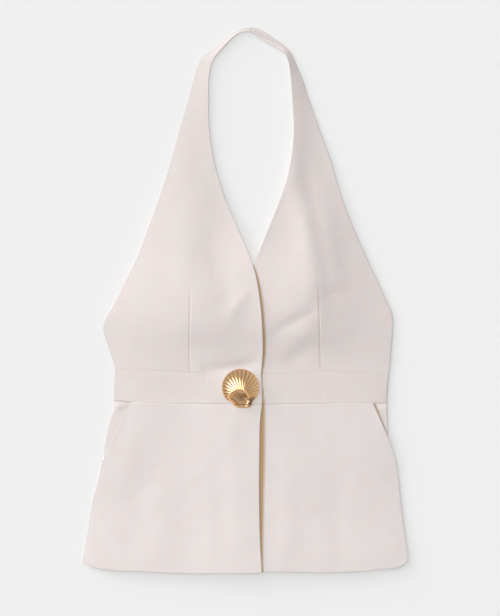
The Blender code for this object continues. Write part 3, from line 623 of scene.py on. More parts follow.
@dataclass
class ClothWall:
    """A closed wall of cloth over a grid of underside points.

    The borders are those of the grid's first and last column and first and last row.
    """

    name: str
    under: Grid
    cloth: float
    borders: tuple[Border, Border, Border, Border]
    relief: Grid | None = None
    shade: Grid | None = None
    level_end: bool = False
    seams_inside: list[Grid] = field(default_factory=list)
    soft_edges: list[SoftEdge] = field(default_factory=list)
    roll_at: float = 2.0
    roll_width: float = 1.3
    calm_reach: float = 6.0
    edge_relief: float = 0.25
    thinnest: float = 0.2
    rim_reach: float = 1.6
    rim_on_face: float = 0.18
    sharp_angle: float = 55.0

    def normals(self) -> Grid:
        """Unit normals of the underside, most of them pointing up."""
        normal = np.cross(np.gradient(self.under, axis=1), np.gradient(self.under, axis=0))
        normal /= np.maximum(np.linalg.norm(normal, axis=2, keepdims=True), 1e-9)
        if normal[..., 2].sum() < 0:
            normal = -normal
        if self.level_end:
            normal[-1, :, 0] = 0.0
            normal[-1] /= np.linalg.norm(normal[-1], axis=1, keepdims=True)
        return normal

    def border_distances(self) -> list[Grid]:
        """Distance of each grid point from each border, along the grid, in millimetres."""
        across = np.linalg.norm(np.diff(self.under, axis=1), axis=2)
        along = np.linalg.norm(np.diff(self.under, axis=0), axis=2)
        from_first = np.pad(np.cumsum(across, axis=1), ((0, 0), (1, 0)))
        from_low = np.pad(np.cumsum(along, axis=0), ((1, 0), (0, 0)))
        return [from_first, from_first[:, -1:] - from_first, from_low, from_low[-1:] - from_low]

    def thickness(self) -> Grid:
        """Thickness of the wall at each grid point, with rounded and rolled borders."""
        share = np.ones(self.under.shape[:2])
        roll = np.zeros(self.under.shape[:2])
        calm = np.ones(self.under.shape[:2])
        distances = self.border_distances()
        for border, distance in zip(self.borders, distances):
            inward = np.clip(distance / border.radius, 0.0, 1.0)
            share = np.minimum(share, border.rest + (1 - border.rest) * np.sqrt(1 - (1 - inward) ** 2))
            bump = np.exp(-(((distance - self.roll_at) / self.roll_width) ** 2))
            roll = np.maximum(roll, border.roll * bump)
            calm = np.minimum(calm, smoothstep(distance / self.calm_reach))
        thick = self.cloth * share + roll
        if self.relief is not None:
            thick = thick + self.relief * (self.edge_relief + (1 - self.edge_relief) * calm)
        for groove in self.seams_inside:
            thick = thick + groove
        for edge in self.soft_edges:
            thick = thick - edge.drop(distances)
        return np.maximum(thick, self.thinnest)

    def rim(self) -> Grid:
        """How much painted shade each grid point takes from the borders near it, from 0 to 1."""
        near = np.zeros(self.under.shape[:2])
        for border, distance in zip(self.borders, self.border_distances()):
            near = np.maximum(near, border.edge_shade_weight * smoothstep(1.0 - distance / self.rim_reach))
        return near

    def build(self) -> bpy.types.Object:
        """Makes the wall's mesh and object.

        Returns:
            The new object, linked to the scene.
        """
        rows, columns = self.under.shape[:2]
        top = self.under + self.normals() * self.thickness()[..., None]
        points = np.concatenate([self.under.reshape(-1, 3), top.reshape(-1, 3)]) * MM
        low = np.arange(rows * columns).reshape(rows, columns)
        high = low + rows * columns

        def quads(a: Grid, b: Grid, c: Grid, d: Grid) -> Grid:
            """Quads from four grids of corners."""
            return np.stack([a, b, c, d], axis=-1).reshape(-1, 4)

        faces = np.concatenate(
            [
                quads(high[:-1, :-1], high[:-1, 1:], high[1:, 1:], high[1:, :-1]),
                quads(low[:-1, :-1], low[1:, :-1], low[1:, 1:], low[:-1, 1:]),
                quads(low[0, :-1], low[0, 1:], high[0, 1:], high[0, :-1]),
                quads(low[-1, 1:], low[-1, :-1], high[-1, :-1], high[-1, 1:]),
                quads(low[1:, 0], low[:-1, 0], high[:-1, 0], high[1:, 0]),
                quads(low[:-1, -1], low[1:, -1], high[1:, -1], high[:-1, -1]),
            ]
        )
        first = points[faces[(rows // 2) * (columns - 1) + columns // 2]]
        if np.cross(first[1] - first[0], first[2] - first[0])[2] < 0:
            faces = faces[:, ::-1]
        mesh = bpy.data.meshes.new(self.name)
        mesh.from_pydata(points.tolist(), [], faces.tolist())
        none, rim = np.zeros(self.under.shape[:2]), self.rim()
        face_shade = none if self.shade is None else self.shade
        # Painted shade goes onto the points: the first attribute darkens the face beside the lap, along the
        # dart and in pocket mouths; the second darkens the borders.
        for name, below, face in (("painted_shade", none, face_shade), ("rim", rim, self.rim_on_face * rim)):
            values = np.concatenate([below.ravel(), face.ravel()])
            mesh.attributes.new(name, "FLOAT", "POINT").data.foreach_set("value", values)
        mesh.shade_smooth()
        mesh.set_sharp_from_angle(angle=math.radians(self.sharp_angle))
        obj = bpy.data.objects.new(self.name, mesh)
        bpy.context.scene.collection.objects.link(obj)
        return obj


def panel_grid(
    near: EdgeLine,
    far: EdgeLine,
    low: EdgeLine,
    high: EdgeLine,
    starts: tuple[float, float, float, float],
    cell: float = FINE_CELL,
) -> tuple[Grid, Grid]:
    """Plan of a four-sided panel, with close rows and columns at its borders.

    Args:
        near: x at y of the first column's edge.
        far: x at y of the last column's edge.
        low: y at x of the first row's line.
        high: y at x of the last row's line.
        starts: y near each corner: near low, near high, far low, far high.
        cell: distance between rows and columns, in millimetres.

    Returns:
        Grids of x and of y.
    """
    near_low, near_high = low(near(starts[0])), high(near(starts[1]))
    far_low, far_high = low(far(starts[2])), high(far(starts[3]))
    height = float(max(near_high - near_low, far_high - far_low))
    share = edge_stops(height, cell, EDGE_STEPS)[:, None]
    near_y = near_low + share * (near_high - near_low)
    far_y = far_low + share * (far_high - far_low)
    left, right = near(near_y), far(far_y)
    width = float(np.abs(right - left).max())
    across = edge_stops(width, cell, EDGE_STEPS)[None, :]
    x = left + across * (right - left)
    y = near_y + across * (far_y - near_y)
    low_bow, high_bow = low(x[0]) - y[0], high(x[-1]) - y[-1]
    return x, y + low_bow * (1 - share) + high_bow * share


@dataclass
class FrontBodice:
    """A front from the waist seam up, with a bust dart and half of the neck strap."""

    node: str
    sections: list[Section]
    seam: CutLine
    dart: CutLine
    layer: Layer
    dart_depth: float = 0.2
    dart_half_width: float = 0.9
    dart_fade: Ramp = Ramp(0.0, 14.0)
    dart_start: Ramp = Ramp(-4.0, 2.0)
    fold_height: float = 0.05
    fold_at: float = -2.4
    fold_width: float = 1.6
    dart_painted_shade: float = 0.16
    lift_reach: float = 45.0
    lift_wide: Ramp = Ramp(20.0, 40.0)
    seam_fade: float = 60.0
    columns_each_side: int = 44
    squeeze_width: float = 40.0
    least_width: float = 4.0
    split_range: tuple[float, float] = (0.42, 0.58)
    even_below: Ramp = Ramp(14.0, 60.0)
    narrow: Ramp = Ramp(12.0, 20.0)
    turn_above: float = 430.0
    turn_along: Ramp = Ramp(2.0, 44.0)
    turn_across: Ramp = Ramp(0.42, 0.16)
    turn_depth: float = 0.9

    def rows(self) -> Grid:
        """The sections made smooth, a fine cell apart."""
        table = np.array(self.sections)
        middles = (table[:, 0:3] + table[:, 3:6]) / 2
        knots = np.concatenate([[0.0], np.cumsum(np.linalg.norm(np.diff(middles, axis=0), axis=1))])
        places = edge_stops(float(knots[-1]), FINE_CELL, EDGE_STEPS) * knots[-1]
        return spline(places, knots, table)

    def shares(self, width: float, split: float) -> Grid:
        """Shares across one row, close together at its edges and beside the dart.

        Args:
            width: the row's width, in millimetres.
            split: the dart's share of the width.

        Returns:
            Shares from 0 to 1, the same number for each row.
        """
        squeeze = min(1.0, width / self.squeeze_width)
        edge = np.array([0.0, *EDGE_STEPS]) * squeeze / width
        beside = np.array(DART_STEPS) * squeeze / width
        first = np.linspace(edge[-1], split - beside[-1], self.columns_each_side)
        second = np.linspace(split + beside[-1], 1 - edge[-1], self.columns_each_side)
        before, after = split - beside[-2::-1], split + beside[:-1]
        return np.concatenate([edge[:-1], first, before, [split], after, second, 1 - edge[-2::-1]])

    def wall(self) -> ClothWall:
        """The bodice as a wall of cloth."""
        rows = self.rows()
        neck, side = rows[:, 0:3], rows[:, 3:6]
        width = np.linalg.norm(side[:, :2] - neck[:, :2], axis=1)
        dart_top = self.dart.points[1].y
        dart_x = self.dart.straight_x(np.minimum((neck[:, 1] + side[:, 1]) / 2, dart_top))
        span = np.maximum(np.abs(side[:, 0] - neck[:, 0]), 1.0)
        split = np.clip(np.abs(dart_x - neck[:, 0]) / span, *self.split_range)
        shares = np.array([self.shares(max(w, self.least_width), s) for w, s in zip(width, split)])
        x = neck[:, None, 0] + shares * (side[:, None, 0] - neck[:, None, 0])
        y = neck[:, None, 1] + shares * (side[:, None, 1] - neck[:, None, 1])
        above_seam = (neck[:, 1] - neck[0, 1])[:, None]
        bow = self.seam.y_at(x[0]) + SEAM_GAP / 2 - y[0]
        y = y + bow * np.clip(1 - above_seam / self.seam_fade, 0, 1) ** 2
        reach = np.minimum(width, self.lift_reach)[:, None]
        power = 1 + self.lift_wide.line(width)[:, None]
        near_neck = np.clip(1 - shares * width[:, None] / reach, 0, 1) ** power
        z = neck[:, None, 2] * near_neck + side[:, None, 2] * (1 - near_neck) + DRAPE.rise(x, y)
        if self.layer is Layer.OVER:
            z = z + DRAPE.lap(x, y)
        under = np.stack([x, y, z], axis=2)
        borders = (Border.TURNED, Border.TURNED, Border.WAIST_ABOVE, Border.JOIN)
        wall = ClothWall(self.node, under, FRONT_CLOTH, borders, level_end=True)
        under[..., :2] -= FRONT_CLOTH / 2 * wall.normals()[..., :2]
        under[-1, :, 0] = neck[-1, 0]
        body = self.even_below.line(width)[:, None]
        wall.relief = DRAPE.relief(x, y) * body
        groove = self.dart_groove(x, y)
        # Painted shade along the dart's stitched groove, deepest where the groove is deepest.
        dart_shade = self.dart_painted_shade * np.clip(-groove / self.dart_depth, 0, 1)
        wall.seams_inside.append(groove)
        wall.shade = np.maximum(0.0, dart_shade)
        if self.layer is Layer.UNDER:
            wall.seams_inside.append(self.strap_turn(x, y, shares))
            wall.shade = np.maximum(LAP_SHADE.depth(x, y), dart_shade)
        side_fall = SIDE_FALL * self.narrow.up(width[:, None])
        wall.soft_edges = [SoftEdge(Side.OUTER, side_fall, SIDE_REACH), self.neck_edge(y)]
        return wall

    def strap_turn(self, x: Grid, y: Grid, shares: Grid) -> Grid:
        """How much lower the neck half of the strap lies where the strap turns over.

        Args:
            x: places across, in millimetres.
            y: places up, in millimetres.
            shares: their shares of the way from the neck edge to the outer edge.

        Returns:
            Heights in millimetres, none of them above 0.
        """
        along = self.turn_along.line(x) * (y > self.turn_above)
        return -self.turn_depth * (1 - self.turn_across.up(shares)) * np.sin(math.pi * along)

    def neck_edge(self, y: Grid) -> SoftEdge:
        """How the face falls to the neck edge of the lower front, and rises and falls on the upper one.

        Args:
            y: places up, in millimetres.

        Returns:
            The soft edge, along the inner border.
        """
        if self.layer is Layer.UNDER:
            fall = 0.15 * Ramp(165.0, 20.0).up(y) + 0.55 * Ramp(235.0, 50.0).up(y)
            return SoftEdge(Side.INNER, fall, reach=16.0)
        strap = Ramp(230.0, 30.0)
        chest = strap.down(y) * Ramp(110.0, 40.0).up(y)
        return SoftEdge(Side.INNER, 0.3 * chest - 0.3 * strap.up(y), reach=20.0)

    def dart_groove(self, x: Grid, y: Grid) -> Grid:
        """Depth of the dart's stitched line, with the fold's slight ridge on its centre side.

        Args:
            x: places across, in millimetres.
            y: places up, in millimetres.

        Returns:
            Heights in millimetres, below 0 in the groove.
        """
        foot, tip = self.dart.points
        inside = self.dart_fade.up(tip.y - y) * self.dart_start.up(y - foot.y)
        aside = x - self.dart.straight_x(y)
        outward = math.copysign(1.0, foot.x) * aside
        ridge = self.fold_height * np.exp(-(((outward - self.fold_at) / self.fold_width) ** 2))
        return inside * (ridge - self.dart_depth * np.exp(-((aside / self.dart_half_width) ** 2)))


def front_wall(
    node: str,
    x: Grid,
    y: Grid,
    layer: Layer,
    borders: tuple[Border, Border, Border, Border],
    lift: Grid | float = 0.0,
) -> ClothWall:
    """A wall of a front, on the drape and in its layer, with painted lap shade where it is the lower one.

    Args:
        node: the name of the solid that it dresses.
        x: places across, in millimetres.
        y: places up, in millimetres.
        layer: which front it belongs to.
        borders: its four borders.
        lift: what it lies higher than the drape, in millimetres.

    Returns:
        The wall.
    """
    z = DRAPE.rise(x, y) + lift
    if layer is Layer.OVER:
        z = z + DRAPE.lap(x, y)
    wall = ClothWall(node, np.stack([x, y, z], axis=2), FRONT_CLOTH, borders, DRAPE.relief(x, y))
    if layer is Layer.UNDER:
        wall.shade = LAP_SHADE.depth(x, y)
    return wall


@dataclass
class FrontWaistband:
    """The band between the two waist seams of one front."""

    node: str
    front: CutLine
    side: CutLine
    lower: CutLine
    upper: CutLine
    layer: Layer

    def wall(self) -> ClothWall:
        """The band as a wall of cloth."""
        *_, front_low, front_high = (point.y for point in self.front.points)
        *_, side_low, side_high = (point.y for point in self.side.points)
        x, y = panel_grid(
            self.front.x_at,
            self.side.x_at,
            lambda at: self.lower.y_at(at) + SEAM_GAP / 2,
            lambda at: self.upper.y_at(at) - SEAM_GAP / 2,
            (front_low, front_high, side_low, side_high),
        )
        upper = Border.WAIST_BELOW if self.layer is Layer.OVER else Border.WAIST_LIT
        wall = front_wall(self.node, x, y, self.layer, (Border.TURNED, Border.SIDE, Border.SEAM, upper))
        wall.soft_edges = [SoftEdge(Side.OUTER, SIDE_FALL, SIDE_REACH)]
        return wall


@dataclass
class FrontPeplum:
    """The skirt of one front, cut away along the slanted pocket mouth."""

    node: str
    front: CutLine
    side: CutLine
    seam: CutLine
    hem: CutLine
    pocket: CutLine
    layer: Layer
    gape: float
    gape_reach: float = 7.0

    def side_x(self, y: Grid) -> Grid:
        """The outer edge: the pocket mouth above, the side seam below."""
        turn = self.pocket.points[1].y
        return np.where(y > turn, self.pocket.straight_x(y), self.side.x_at(np.minimum(y, turn)))

    def wall(self) -> ClothWall:
        """The skirt as a wall of cloth."""
        top, foot = self.pocket.points
        starts = (self.front.points[0].y, self.front.points[-2].y, self.side.points[0].y, top.y)
        x, y = panel_grid(
            self.front.x_at,
            self.side_x,
            self.hem.y_at,
            lambda at: self.seam.y_at(at) - SEAM_GAP / 2,
            starts,
        )
        from_mouth = np.maximum(math.copysign(1.0, top.x) * (self.pocket.straight_x(y) - x), 0.0)
        down = np.clip((top.y - y) / (top.y - foot.y), 0, 1)
        gape = self.gape * np.exp(-from_mouth / self.gape_reach) * np.clip(np.sin(math.pi * down), 0, 1)
        lift = DRAPE.pocket_step(x, y, self.pocket) + gape
        borders = (Border.TURNED, Border.MOUTH, Border.TURNED, Border.SEAM)
        wall = front_wall(self.node, x, y, self.layer, borders, lift)
        wall.soft_edges = [SoftEdge(Side.OUTER, SIDE_FALL * Ramp(foot.y, SIDE_REACH).down(y), SIDE_REACH)]
        return wall


@dataclass
class PocketPiece:
    """The hip piece that shows between a pocket mouth and the side seam."""

    node: str
    side: CutLine
    seam: CutLine
    pocket: CutLine
    shade: MouthShade
    side_rise: float
    side_slope: float = 12.0
    inset: float = 1.5
    inset_ramp: float = 12.0
    bulge_height: float = 0.9
    bulge_below: float = 7.0
    bulge_width: float = 5.0
    bulge_ramp: float = 14.0

    def wall(self) -> ClothWall:
        """The hip piece as a wall of cloth."""
        sign = math.copysign(1.0, self.pocket.points[0].x)
        top, foot = self.pocket.points
        foot_y = foot.y - BELOW_MOUTH
        inset = Ramp(foot.y + self.inset_ramp, self.inset_ramp)
        x, y = panel_grid(
            lambda at: self.pocket.straight_x(at) - sign * POCKET_FLAP,
            lambda at: self.side.x_at(at) - sign * self.inset * inset.down(at),
            lambda at: np.full(np.shape(at), foot_y),
            lambda at: self.seam.y_at(at) - SEAM_GAP / 2,
            (foot_y, top.y, foot_y, self.side.points[-2].y),
        )
        z = np.full(x.shape, BACK_CLOTH + CAD_GAP)
        borders = (Border.JOIN, Border.SIDE, Border.JOIN, Border.SEAM)
        wall = ClothWall(self.node, np.stack([x, y, z], axis=2), POCKET_CLOTH, borders, self.fullness(x, y))
        wall.shade = self.shade.depth(x, y, self.pocket)
        return wall

    def fullness(self, x: Grid, y: Grid) -> Grid:
        """A slope up from the side seam, and a slight bulge below the waist seam, outside the mouth.

        Args:
            x: places across, in millimetres.
            y: places up, in millimetres.

        Returns:
            Heights in millimetres.
        """
        corner = self.side.points[-2]
        sign = math.copysign(1.0, corner.x)
        out = np.clip(sign * (x - self.pocket.straight_x(y)) / self.bulge_ramp, 0, 1)
        from_side = np.clip(sign * (self.side.x_at(y) - x) / self.side_slope, 0, 1)
        slope = self.side_rise * (1 - (1 - from_side) ** 2)
        along = np.exp(-(((y - corner.y + self.bulge_below) / self.bulge_width) ** 2))
        return slope + self.bulge_height * smoothstep(out) * along


@dataclass
class BackPanel:
    """A flat panel of the back, a little inside the front's side edges."""

    node: str
    low: EdgeLine
    high: EdgeLine
    starts: tuple[float, float, float, float]
    borders: tuple[Border, Border, Border, Border]
    inset: float = 1.0

    def wall(self) -> ClothWall:
        """The panel as a wall of cloth."""
        x, y = panel_grid(
            lambda at: BACK_RIGHT_EDGE.x_at(at) + self.inset,
            lambda at: BACK_LEFT_EDGE.x_at(at) - self.inset,
            self.low,
            self.high,
            self.starts,
            COARSE_CELL,
        )
        return ClothWall(self.node, np.stack([x, y, np.zeros(x.shape)], axis=2), BACK_CLOTH, self.borders)


def back_panels() -> list[BackPanel]:
    """The three panels of the back, from the top down. Its hem lies a little above the front's."""
    above = 2.0
    hem = CutLine(
        (
            Point(-220.7, -224.1),
            *(Point(p.x, p.y + above) for p in RIGHT_HEM.points[1:6]),
            *(Point(p.x, p.y + above) for p in LEFT_HEM.points[2:7]),
            Point(206.0, -222.1),
        )
    )
    seam, turned = Border.SEAM, Border.TURNED
    return [
        BackPanel(
            "back_bodice",
            lambda at: BACK_UPPER_SEAM.y_at(at) + SEAM_GAP / 2,
            BACK_TOP.y_at,
            (26.0, 70.0, 17.3, 70.0),
            (seam, seam, seam, turned),
        ),
        BackPanel(
            "back_waistband",
            lambda at: BACK_LOWER_SEAM.y_at(at) + SEAM_GAP / 2,
            lambda at: BACK_UPPER_SEAM.y_at(at) - SEAM_GAP / 2,
            (-15.5, 26.0, -18.7, 17.3),
            (seam, seam, seam, seam),
        ),
        BackPanel(
            "back_peplum",
            hem.y_at,
            lambda at: BACK_LOWER_SEAM.y_at(at) - SEAM_GAP / 2,
            (-224.1, -15.5, -222.1, -18.7),
            (seam, seam, turned, seam),
        ),
    ]


@dataclass
class ShellButton:
    """The scallop-shell button: a ribbed fan over a hinge with a hollow, a beaded ear and a plain ear.

    The whole face is one height over a polar plan round the point that the ribs run to.
    """

    node: str = "shell_button"
    centre: Point = Point(-13.5, 1.6)
    radius: float = 24.1
    focus: Point = Point(-12.0, -7.6)
    fan_from: float = -17.0
    fan_to: float = 198.0
    ribs: int = 20
    height: float = 8.6
    rim: float = 1.3
    rib_height: float = 0.86
    rib_outset: float = 0.75
    crest_power: float = 0.36
    mean_crest: float = 0.75
    plain_crest: float = 0.6
    ribs_start: Ramp = Ramp(0.06, 0.22)
    dome_powers: tuple[float, float] = (2.2, 0.8)
    hinge: tuple[Point, ...] = (
        Point(-24.6, -17.8), Point(-22.2, -21.8), Point(-18.2, -24.3), Point(-12.0, -24.9),
        Point(-5.0, -24.9), Point(-0.4, -23.4), Point(1.6, -18.6), Point(2.8, -15.4),
    )
    arch: CutLine = cut_line(
        (-32.0, -13.6), (-29.3, -11.4), (-26.0, -8.3), (-19.5, -5.0), (-13.5, -4.0), (-8.4, -5.6),
        (-4.3, -9.2), (-0.6, -12.2), (4.0, -14.0),
    )
    arch_blend: Ramp = Ramp(-6.6, 10.4)
    hollow: float = 2.1
    hollow_slope: float = 0.1
    hollow_top: float = -11.0
    lip_rise: float = 0.3
    lip: Ramp = Ramp(-20.8, 1.6)
    pale_lip: Ramp = Ramp(-21.0, 1.0)
    groove_y: float = -20.4
    groove_width: float = 0.6
    groove_half_length: float = 8.0
    groove_depth: float = 0.5
    hollow_shade_y: float = -10.5
    hollow_shade_size: tuple[float, float] = (7.0, 5.5)
    ear_shadow: Ramp = Ramp(-6.5, 1.5)
    beads: int = 7
    bead_low: float = 0.45
    bead_power: float = 0.8
    beaded_height: float = 2.4
    plain_height: float = 0.6
    left_ear: tuple[Point, ...] = (Point(-29.4, -13.0), Point(-22.2, -17.4), Point(-18.2, -22.6))
    right_ear: tuple[Point, ...] = (Point(2.6, -13.0), Point(-1.0, -16.6), Point(-3.4, -22.8))
    turns: int = 640
    rings: int = 76

    def base(self) -> float:
        """Height of the button's back, just above the highest cloth below it."""
        across, along = np.linspace(-24, 24, 25), np.linspace(-26, 24, 26)
        x, y = np.meshgrid(self.centre.x + across, self.centre.y + along)
        under = np.hypot(x - self.centre.x, y - self.centre.y) < 26.0
        cloth = DRAPE.rise(x, y) + DRAPE.lap(x, y) + FRONT_CLOTH
        return float(cloth[under].max()) + CAD_GAP

    def reach(self, angle: Grid) -> Grid:
        """Distance from the focus to the outline at each angle.

        Args:
            angle: angles from +X, in degrees.

        Returns:
            Distances in millimetres.
        """
        turn = np.radians(angle)
        across, up = np.cos(turn), np.sin(turn)
        shift_x, shift_y = self.focus.x - self.centre.x, self.focus.y - self.centre.y
        ahead = across * shift_x + up * shift_y
        circle = -ahead + np.sqrt(ahead**2 - shift_x**2 - shift_y**2 + self.radius**2)
        circle = circle + self.rib_outset * (self.crest(angle) - self.plain_crest)
        corners = [self.fan_to]
        reaches = [float(np.interp(self.fan_to, angle, circle))]
        for point in self.hinge:
            corners.append(math.degrees(math.atan2(point.y - self.focus.y, point.x - self.focus.x)) % 360.0)
            reaches.append(math.hypot(point.x - self.focus.x, point.y - self.focus.y))
        corners.append(self.fan_from + 360.0)
        reaches.append(float(np.interp(self.fan_from + 360.0, angle, circle)))
        hinge = spline(angle, corners, reaches)
        return np.where((angle > self.fan_to) & (angle < self.fan_from + 360.0), hinge, circle)

    def crest(self, angle: Grid) -> Grid:
        """How near a rib's crest each angle is.

        Args:
            angle: angles from +X, in degrees.

        Returns:
            Shares: 1 on a crest, 0 in a groove.
        """
        share = (angle - self.fan_from) / (self.fan_to - self.fan_from)
        inside = (share > 0) & (share < 1)
        ribbed = np.abs(np.sin(math.pi * self.ribs * share)) ** self.crest_power
        return np.where(inside, ribbed, self.plain_crest)

    def ridge(self, x: Grid, y: Grid, path: tuple[Point, ...], half_width: float, beads: int) -> Grid:
        """A rounded ridge along a path, with beads along it if there are any.

        Args:
            x: places across, in millimetres.
            y: places up, in millimetres.
            path: the points that it runs through.
            half_width: half of its width, in millimetres.
            beads: number of beads, or 0 for a plain ridge.

        Returns:
            Heights from 0 to 1.
        """
        nearest, along, done = np.full(np.shape(x), np.inf), np.zeros(np.shape(x)), 0.0
        total = sum(math.dist(a, b) for a, b in zip(path, path[1:]))
        for a, b in zip(path, path[1:]):
            leg, length = (b.x - a.x, b.y - a.y), math.dist(a, b)
            share = np.clip(((x - a.x) * leg[0] + (y - a.y) * leg[1]) / length**2, 0, 1)
            distance = np.hypot(x - a.x - share * leg[0], y - a.y - share * leg[1])
            closer = distance < nearest
            nearest = np.where(closer, distance, nearest)
            along = np.where(closer, (done + share * length) / total, along)
            done += length
        round_top = np.sqrt(np.clip(1 - (nearest / half_width) ** 2, 0, 1))
        if beads:
            bead = np.abs(np.sin(math.pi * beads * along)) ** self.bead_power
            round_top = round_top * (self.bead_low + (1 - self.bead_low) * bead)
        return round_top

    def heights(self, x: Grid, y: Grid, angle: Grid, share: Grid) -> tuple[Grid, Grid]:
        """Height of the face, and how much painted shade each place of it takes.

        Args:
            x: places across, in millimetres.
            y: places up, in millimetres.
            angle: their angles round the focus, in degrees.
            share: their share of the way from the focus to the outline.

        Returns:
            Heights above the back, and painted shade from 0 to 1.
        """
        crest = self.crest(angle)
        across, up = x - self.focus.x, y - self.groove_y
        bend, fall = self.dome_powers
        dome = self.rim + self.height * np.clip(1 - share**bend, 0, 1) ** fall
        ribbed = self.ribs_start.up(share)
        dome = dome + self.rib_height * (crest - self.mean_crest) * ribbed
        above = self.arch_blend.up(y - self.arch.y_at(x))
        hollow = self.hollow + self.hollow_slope * np.clip(self.hollow_top - y, 0, 20)
        hollow = hollow + self.lip_rise * self.lip.down(y)
        groove = np.exp(-((up / self.groove_width) ** 2)) * (np.abs(across) < self.groove_half_length)
        hollow = hollow - self.groove_depth * groove
        beaded = self.ridge(x, y, self.left_ear, 2.9, self.beads)
        plain = self.ridge(x, y, self.right_ear, 3.3, 0)
        ears = hollow + self.beaded_height * beaded + self.plain_height * plain
        rounded = np.sqrt(np.clip(1 - share**10, 0, 1))
        face = above * dome + (1 - above) * (self.rim + (ears - self.rim) * rounded)

        # Painted shade: a dark patch in the hollow above the hinge, brown in the rib grooves and the
        # hollow, beside the plain ear and in the lip's groove, and less on the lip.
        wide, high = self.hollow_shade_size
        hollow_shade = np.exp(-((across / wide) ** 2) - ((y - self.hollow_shade_y) / high) ** 2)
        depth = above * ribbed * (1 - crest) * 0.95 + (1 - above) * 0.35
        depth = depth + 0.6 * hollow_shade * (1 - above**4)
        depth = depth + 0.85 * np.clip(1.4 * plain, 0, 1) * self.ear_shadow.up(x)
        depth = depth * (1 - 0.8 * self.pale_lip.down(y)) + 0.5 * groove * (1 - above)
        return face, np.clip(depth, 0, 1)

    def build(self) -> bpy.types.Object:
        """Makes the button as one closed mesh.

        Returns:
            The new object.
        """
        base = self.base()
        angle = np.linspace(self.fan_from, self.fan_from + 360.0, self.turns + 1)[:-1]
        share = np.linspace(0.0, 1.0, self.rings + 1)[1:, None] ** 0.92
        reach = self.reach(angle)
        x = self.focus.x + share * (reach * np.cos(np.radians(angle)))[None, :]
        y = self.focus.y + share * (reach * np.sin(np.radians(angle)))[None, :]
        spread = np.broadcast_to(angle[None, :], x.shape)
        face, depth = self.heights(x, y, spread, np.broadcast_to(share, x.shape))
        centre = self.heights(*(np.array([v]) for v in (self.focus.x, self.focus.y, 90.0, 0.0)))[0][0]
        top = np.stack([x, y, base + face], axis=2).reshape(-1, 3)
        foot = np.stack([x[-1], y[-1], np.full(self.turns, base)], axis=1)
        ends = np.array([[self.focus.x, self.focus.y, base + centre], [self.focus.x, self.focus.y, base]])
        points = np.concatenate([top, foot, ends]) * MM
        index = np.arange(x.size).reshape(x.shape)
        foot_index = x.size + np.arange(self.turns)
        turn = np.roll(index, -1, axis=1)
        foot_turn = np.roll(foot_index, -1)
        quads = np.stack([index[:-1], index[1:], turn[1:], turn[:-1]], axis=-1).reshape(-1, 4)
        wall = np.stack([index[-1], foot_index, foot_turn, turn[-1]], axis=-1)
        caps = [(len(points) - 2, int(a), int(b)) for a, b in zip(index[0], turn[0])]
        caps += [(len(points) - 1, int(b), int(a)) for a, b in zip(foot_index, foot_turn)]
        mesh = bpy.data.meshes.new("shell_button_gold")
        mesh.from_pydata(points.tolist(), [], [*quads.tolist(), *wall.tolist(), *caps])
        # The face's painted shade goes onto its points.
        values = np.concatenate([depth.ravel(), np.zeros(len(foot) + 2)])
        mesh.attributes.new("groove", "FLOAT", "POINT").data.foreach_set("value", values)
        mesh.shade_smooth()
        mesh.set_sharp_from_angle(angle=math.radians(65))
        button = bpy.data.objects.new("shell_button_gold", mesh)
        bpy.context.scene.collection.objects.link(button)
        return button


Triple = tuple[float, float, float]


@dataclass(frozen=True)
class Nodes:
    """A material's node tree, with a short way to add and join its nodes."""

    material: bpy.types.Material

    def add(self, kind: str, inputs: dict | None = None, **settings: object) -> bpy.types.Node:
        """Adds a node.

        Args:
            kind: Blender's name of the node type.
            inputs: values or other sockets for its inputs, by name or number.
            settings: the node's own settings.

        Returns:
            The new node.
        """
        node = self.material.node_tree.nodes.new(kind)
        for key, value in settings.items():
            setattr(node, key, value)
        for key, value in (inputs or {}).items():
            if isinstance(value, bpy.types.NodeSocket):
                self.material.node_tree.links.new(value, node.inputs[key])
            else:
                node.inputs[key].default_value = value
        return node

    @property
    def shader(self) -> bpy.types.Node:
        """The material's Principled BSDF."""
        return self.material.node_tree.nodes["Principled BSDF"]

    def math(self, operation: str, *values: object) -> bpy.types.NodeSocket:
        """Adds a Math node over some values or sockets."""
        return self.add("ShaderNodeMath", dict(enumerate(values)), operation=operation).outputs[0]

    def noise(self, place: bpy.types.NodeSocket, scale: float, detail: float) -> bpy.types.NodeSocket:
        """Adds noise over a place."""
        inputs = {"Vector": place, "Scale": scale, "Detail": detail}
        return self.add("ShaderNodeTexNoise", inputs).outputs["Fac"]

    def stretch(self, place: bpy.types.NodeSocket, scale: Triple) -> bpy.types.NodeSocket:
        """Stretches a place by a scale for each axis."""
        return self.add("ShaderNodeMapping", {"Vector": place, "Scale": scale}).outputs[0]

    def spread(
        self, value: bpy.types.NodeSocket, low: float, high: float, to_low: float, to_high: float
    ) -> bpy.types.NodeSocket:
        """Moves a value from one range to another."""
        ends = {"From Min": low, "From Max": high, "To Min": to_low, "To Max": to_high}
        return self.add("ShaderNodeMapRange", {"Value": value, **ends}).outputs[0]

    def scaled(
        self, vector: bpy.types.NodeSocket | Triple, scale: bpy.types.NodeSocket
    ) -> bpy.types.NodeSocket:
        """Scales a colour by a value."""
        inputs = {0: vector, "Scale": scale}
        return self.add("ShaderNodeVectorMath", inputs, operation="SCALE").outputs[0]

    def drive(self, socket: str, source: bpy.types.NodeSocket) -> None:
        """Links a socket into the Principled BSDF."""
        self.material.node_tree.links.new(source, self.shader.inputs[socket])


def new_material(name: str) -> Nodes:
    """An empty material with a Principled BSDF, as a node sheet.

    Args:
        name: its name.

    Returns:
        The nodes of the new material.
    """
    material = bpy.data.materials.new(name)
    material.use_nodes = True
    return Nodes(material)


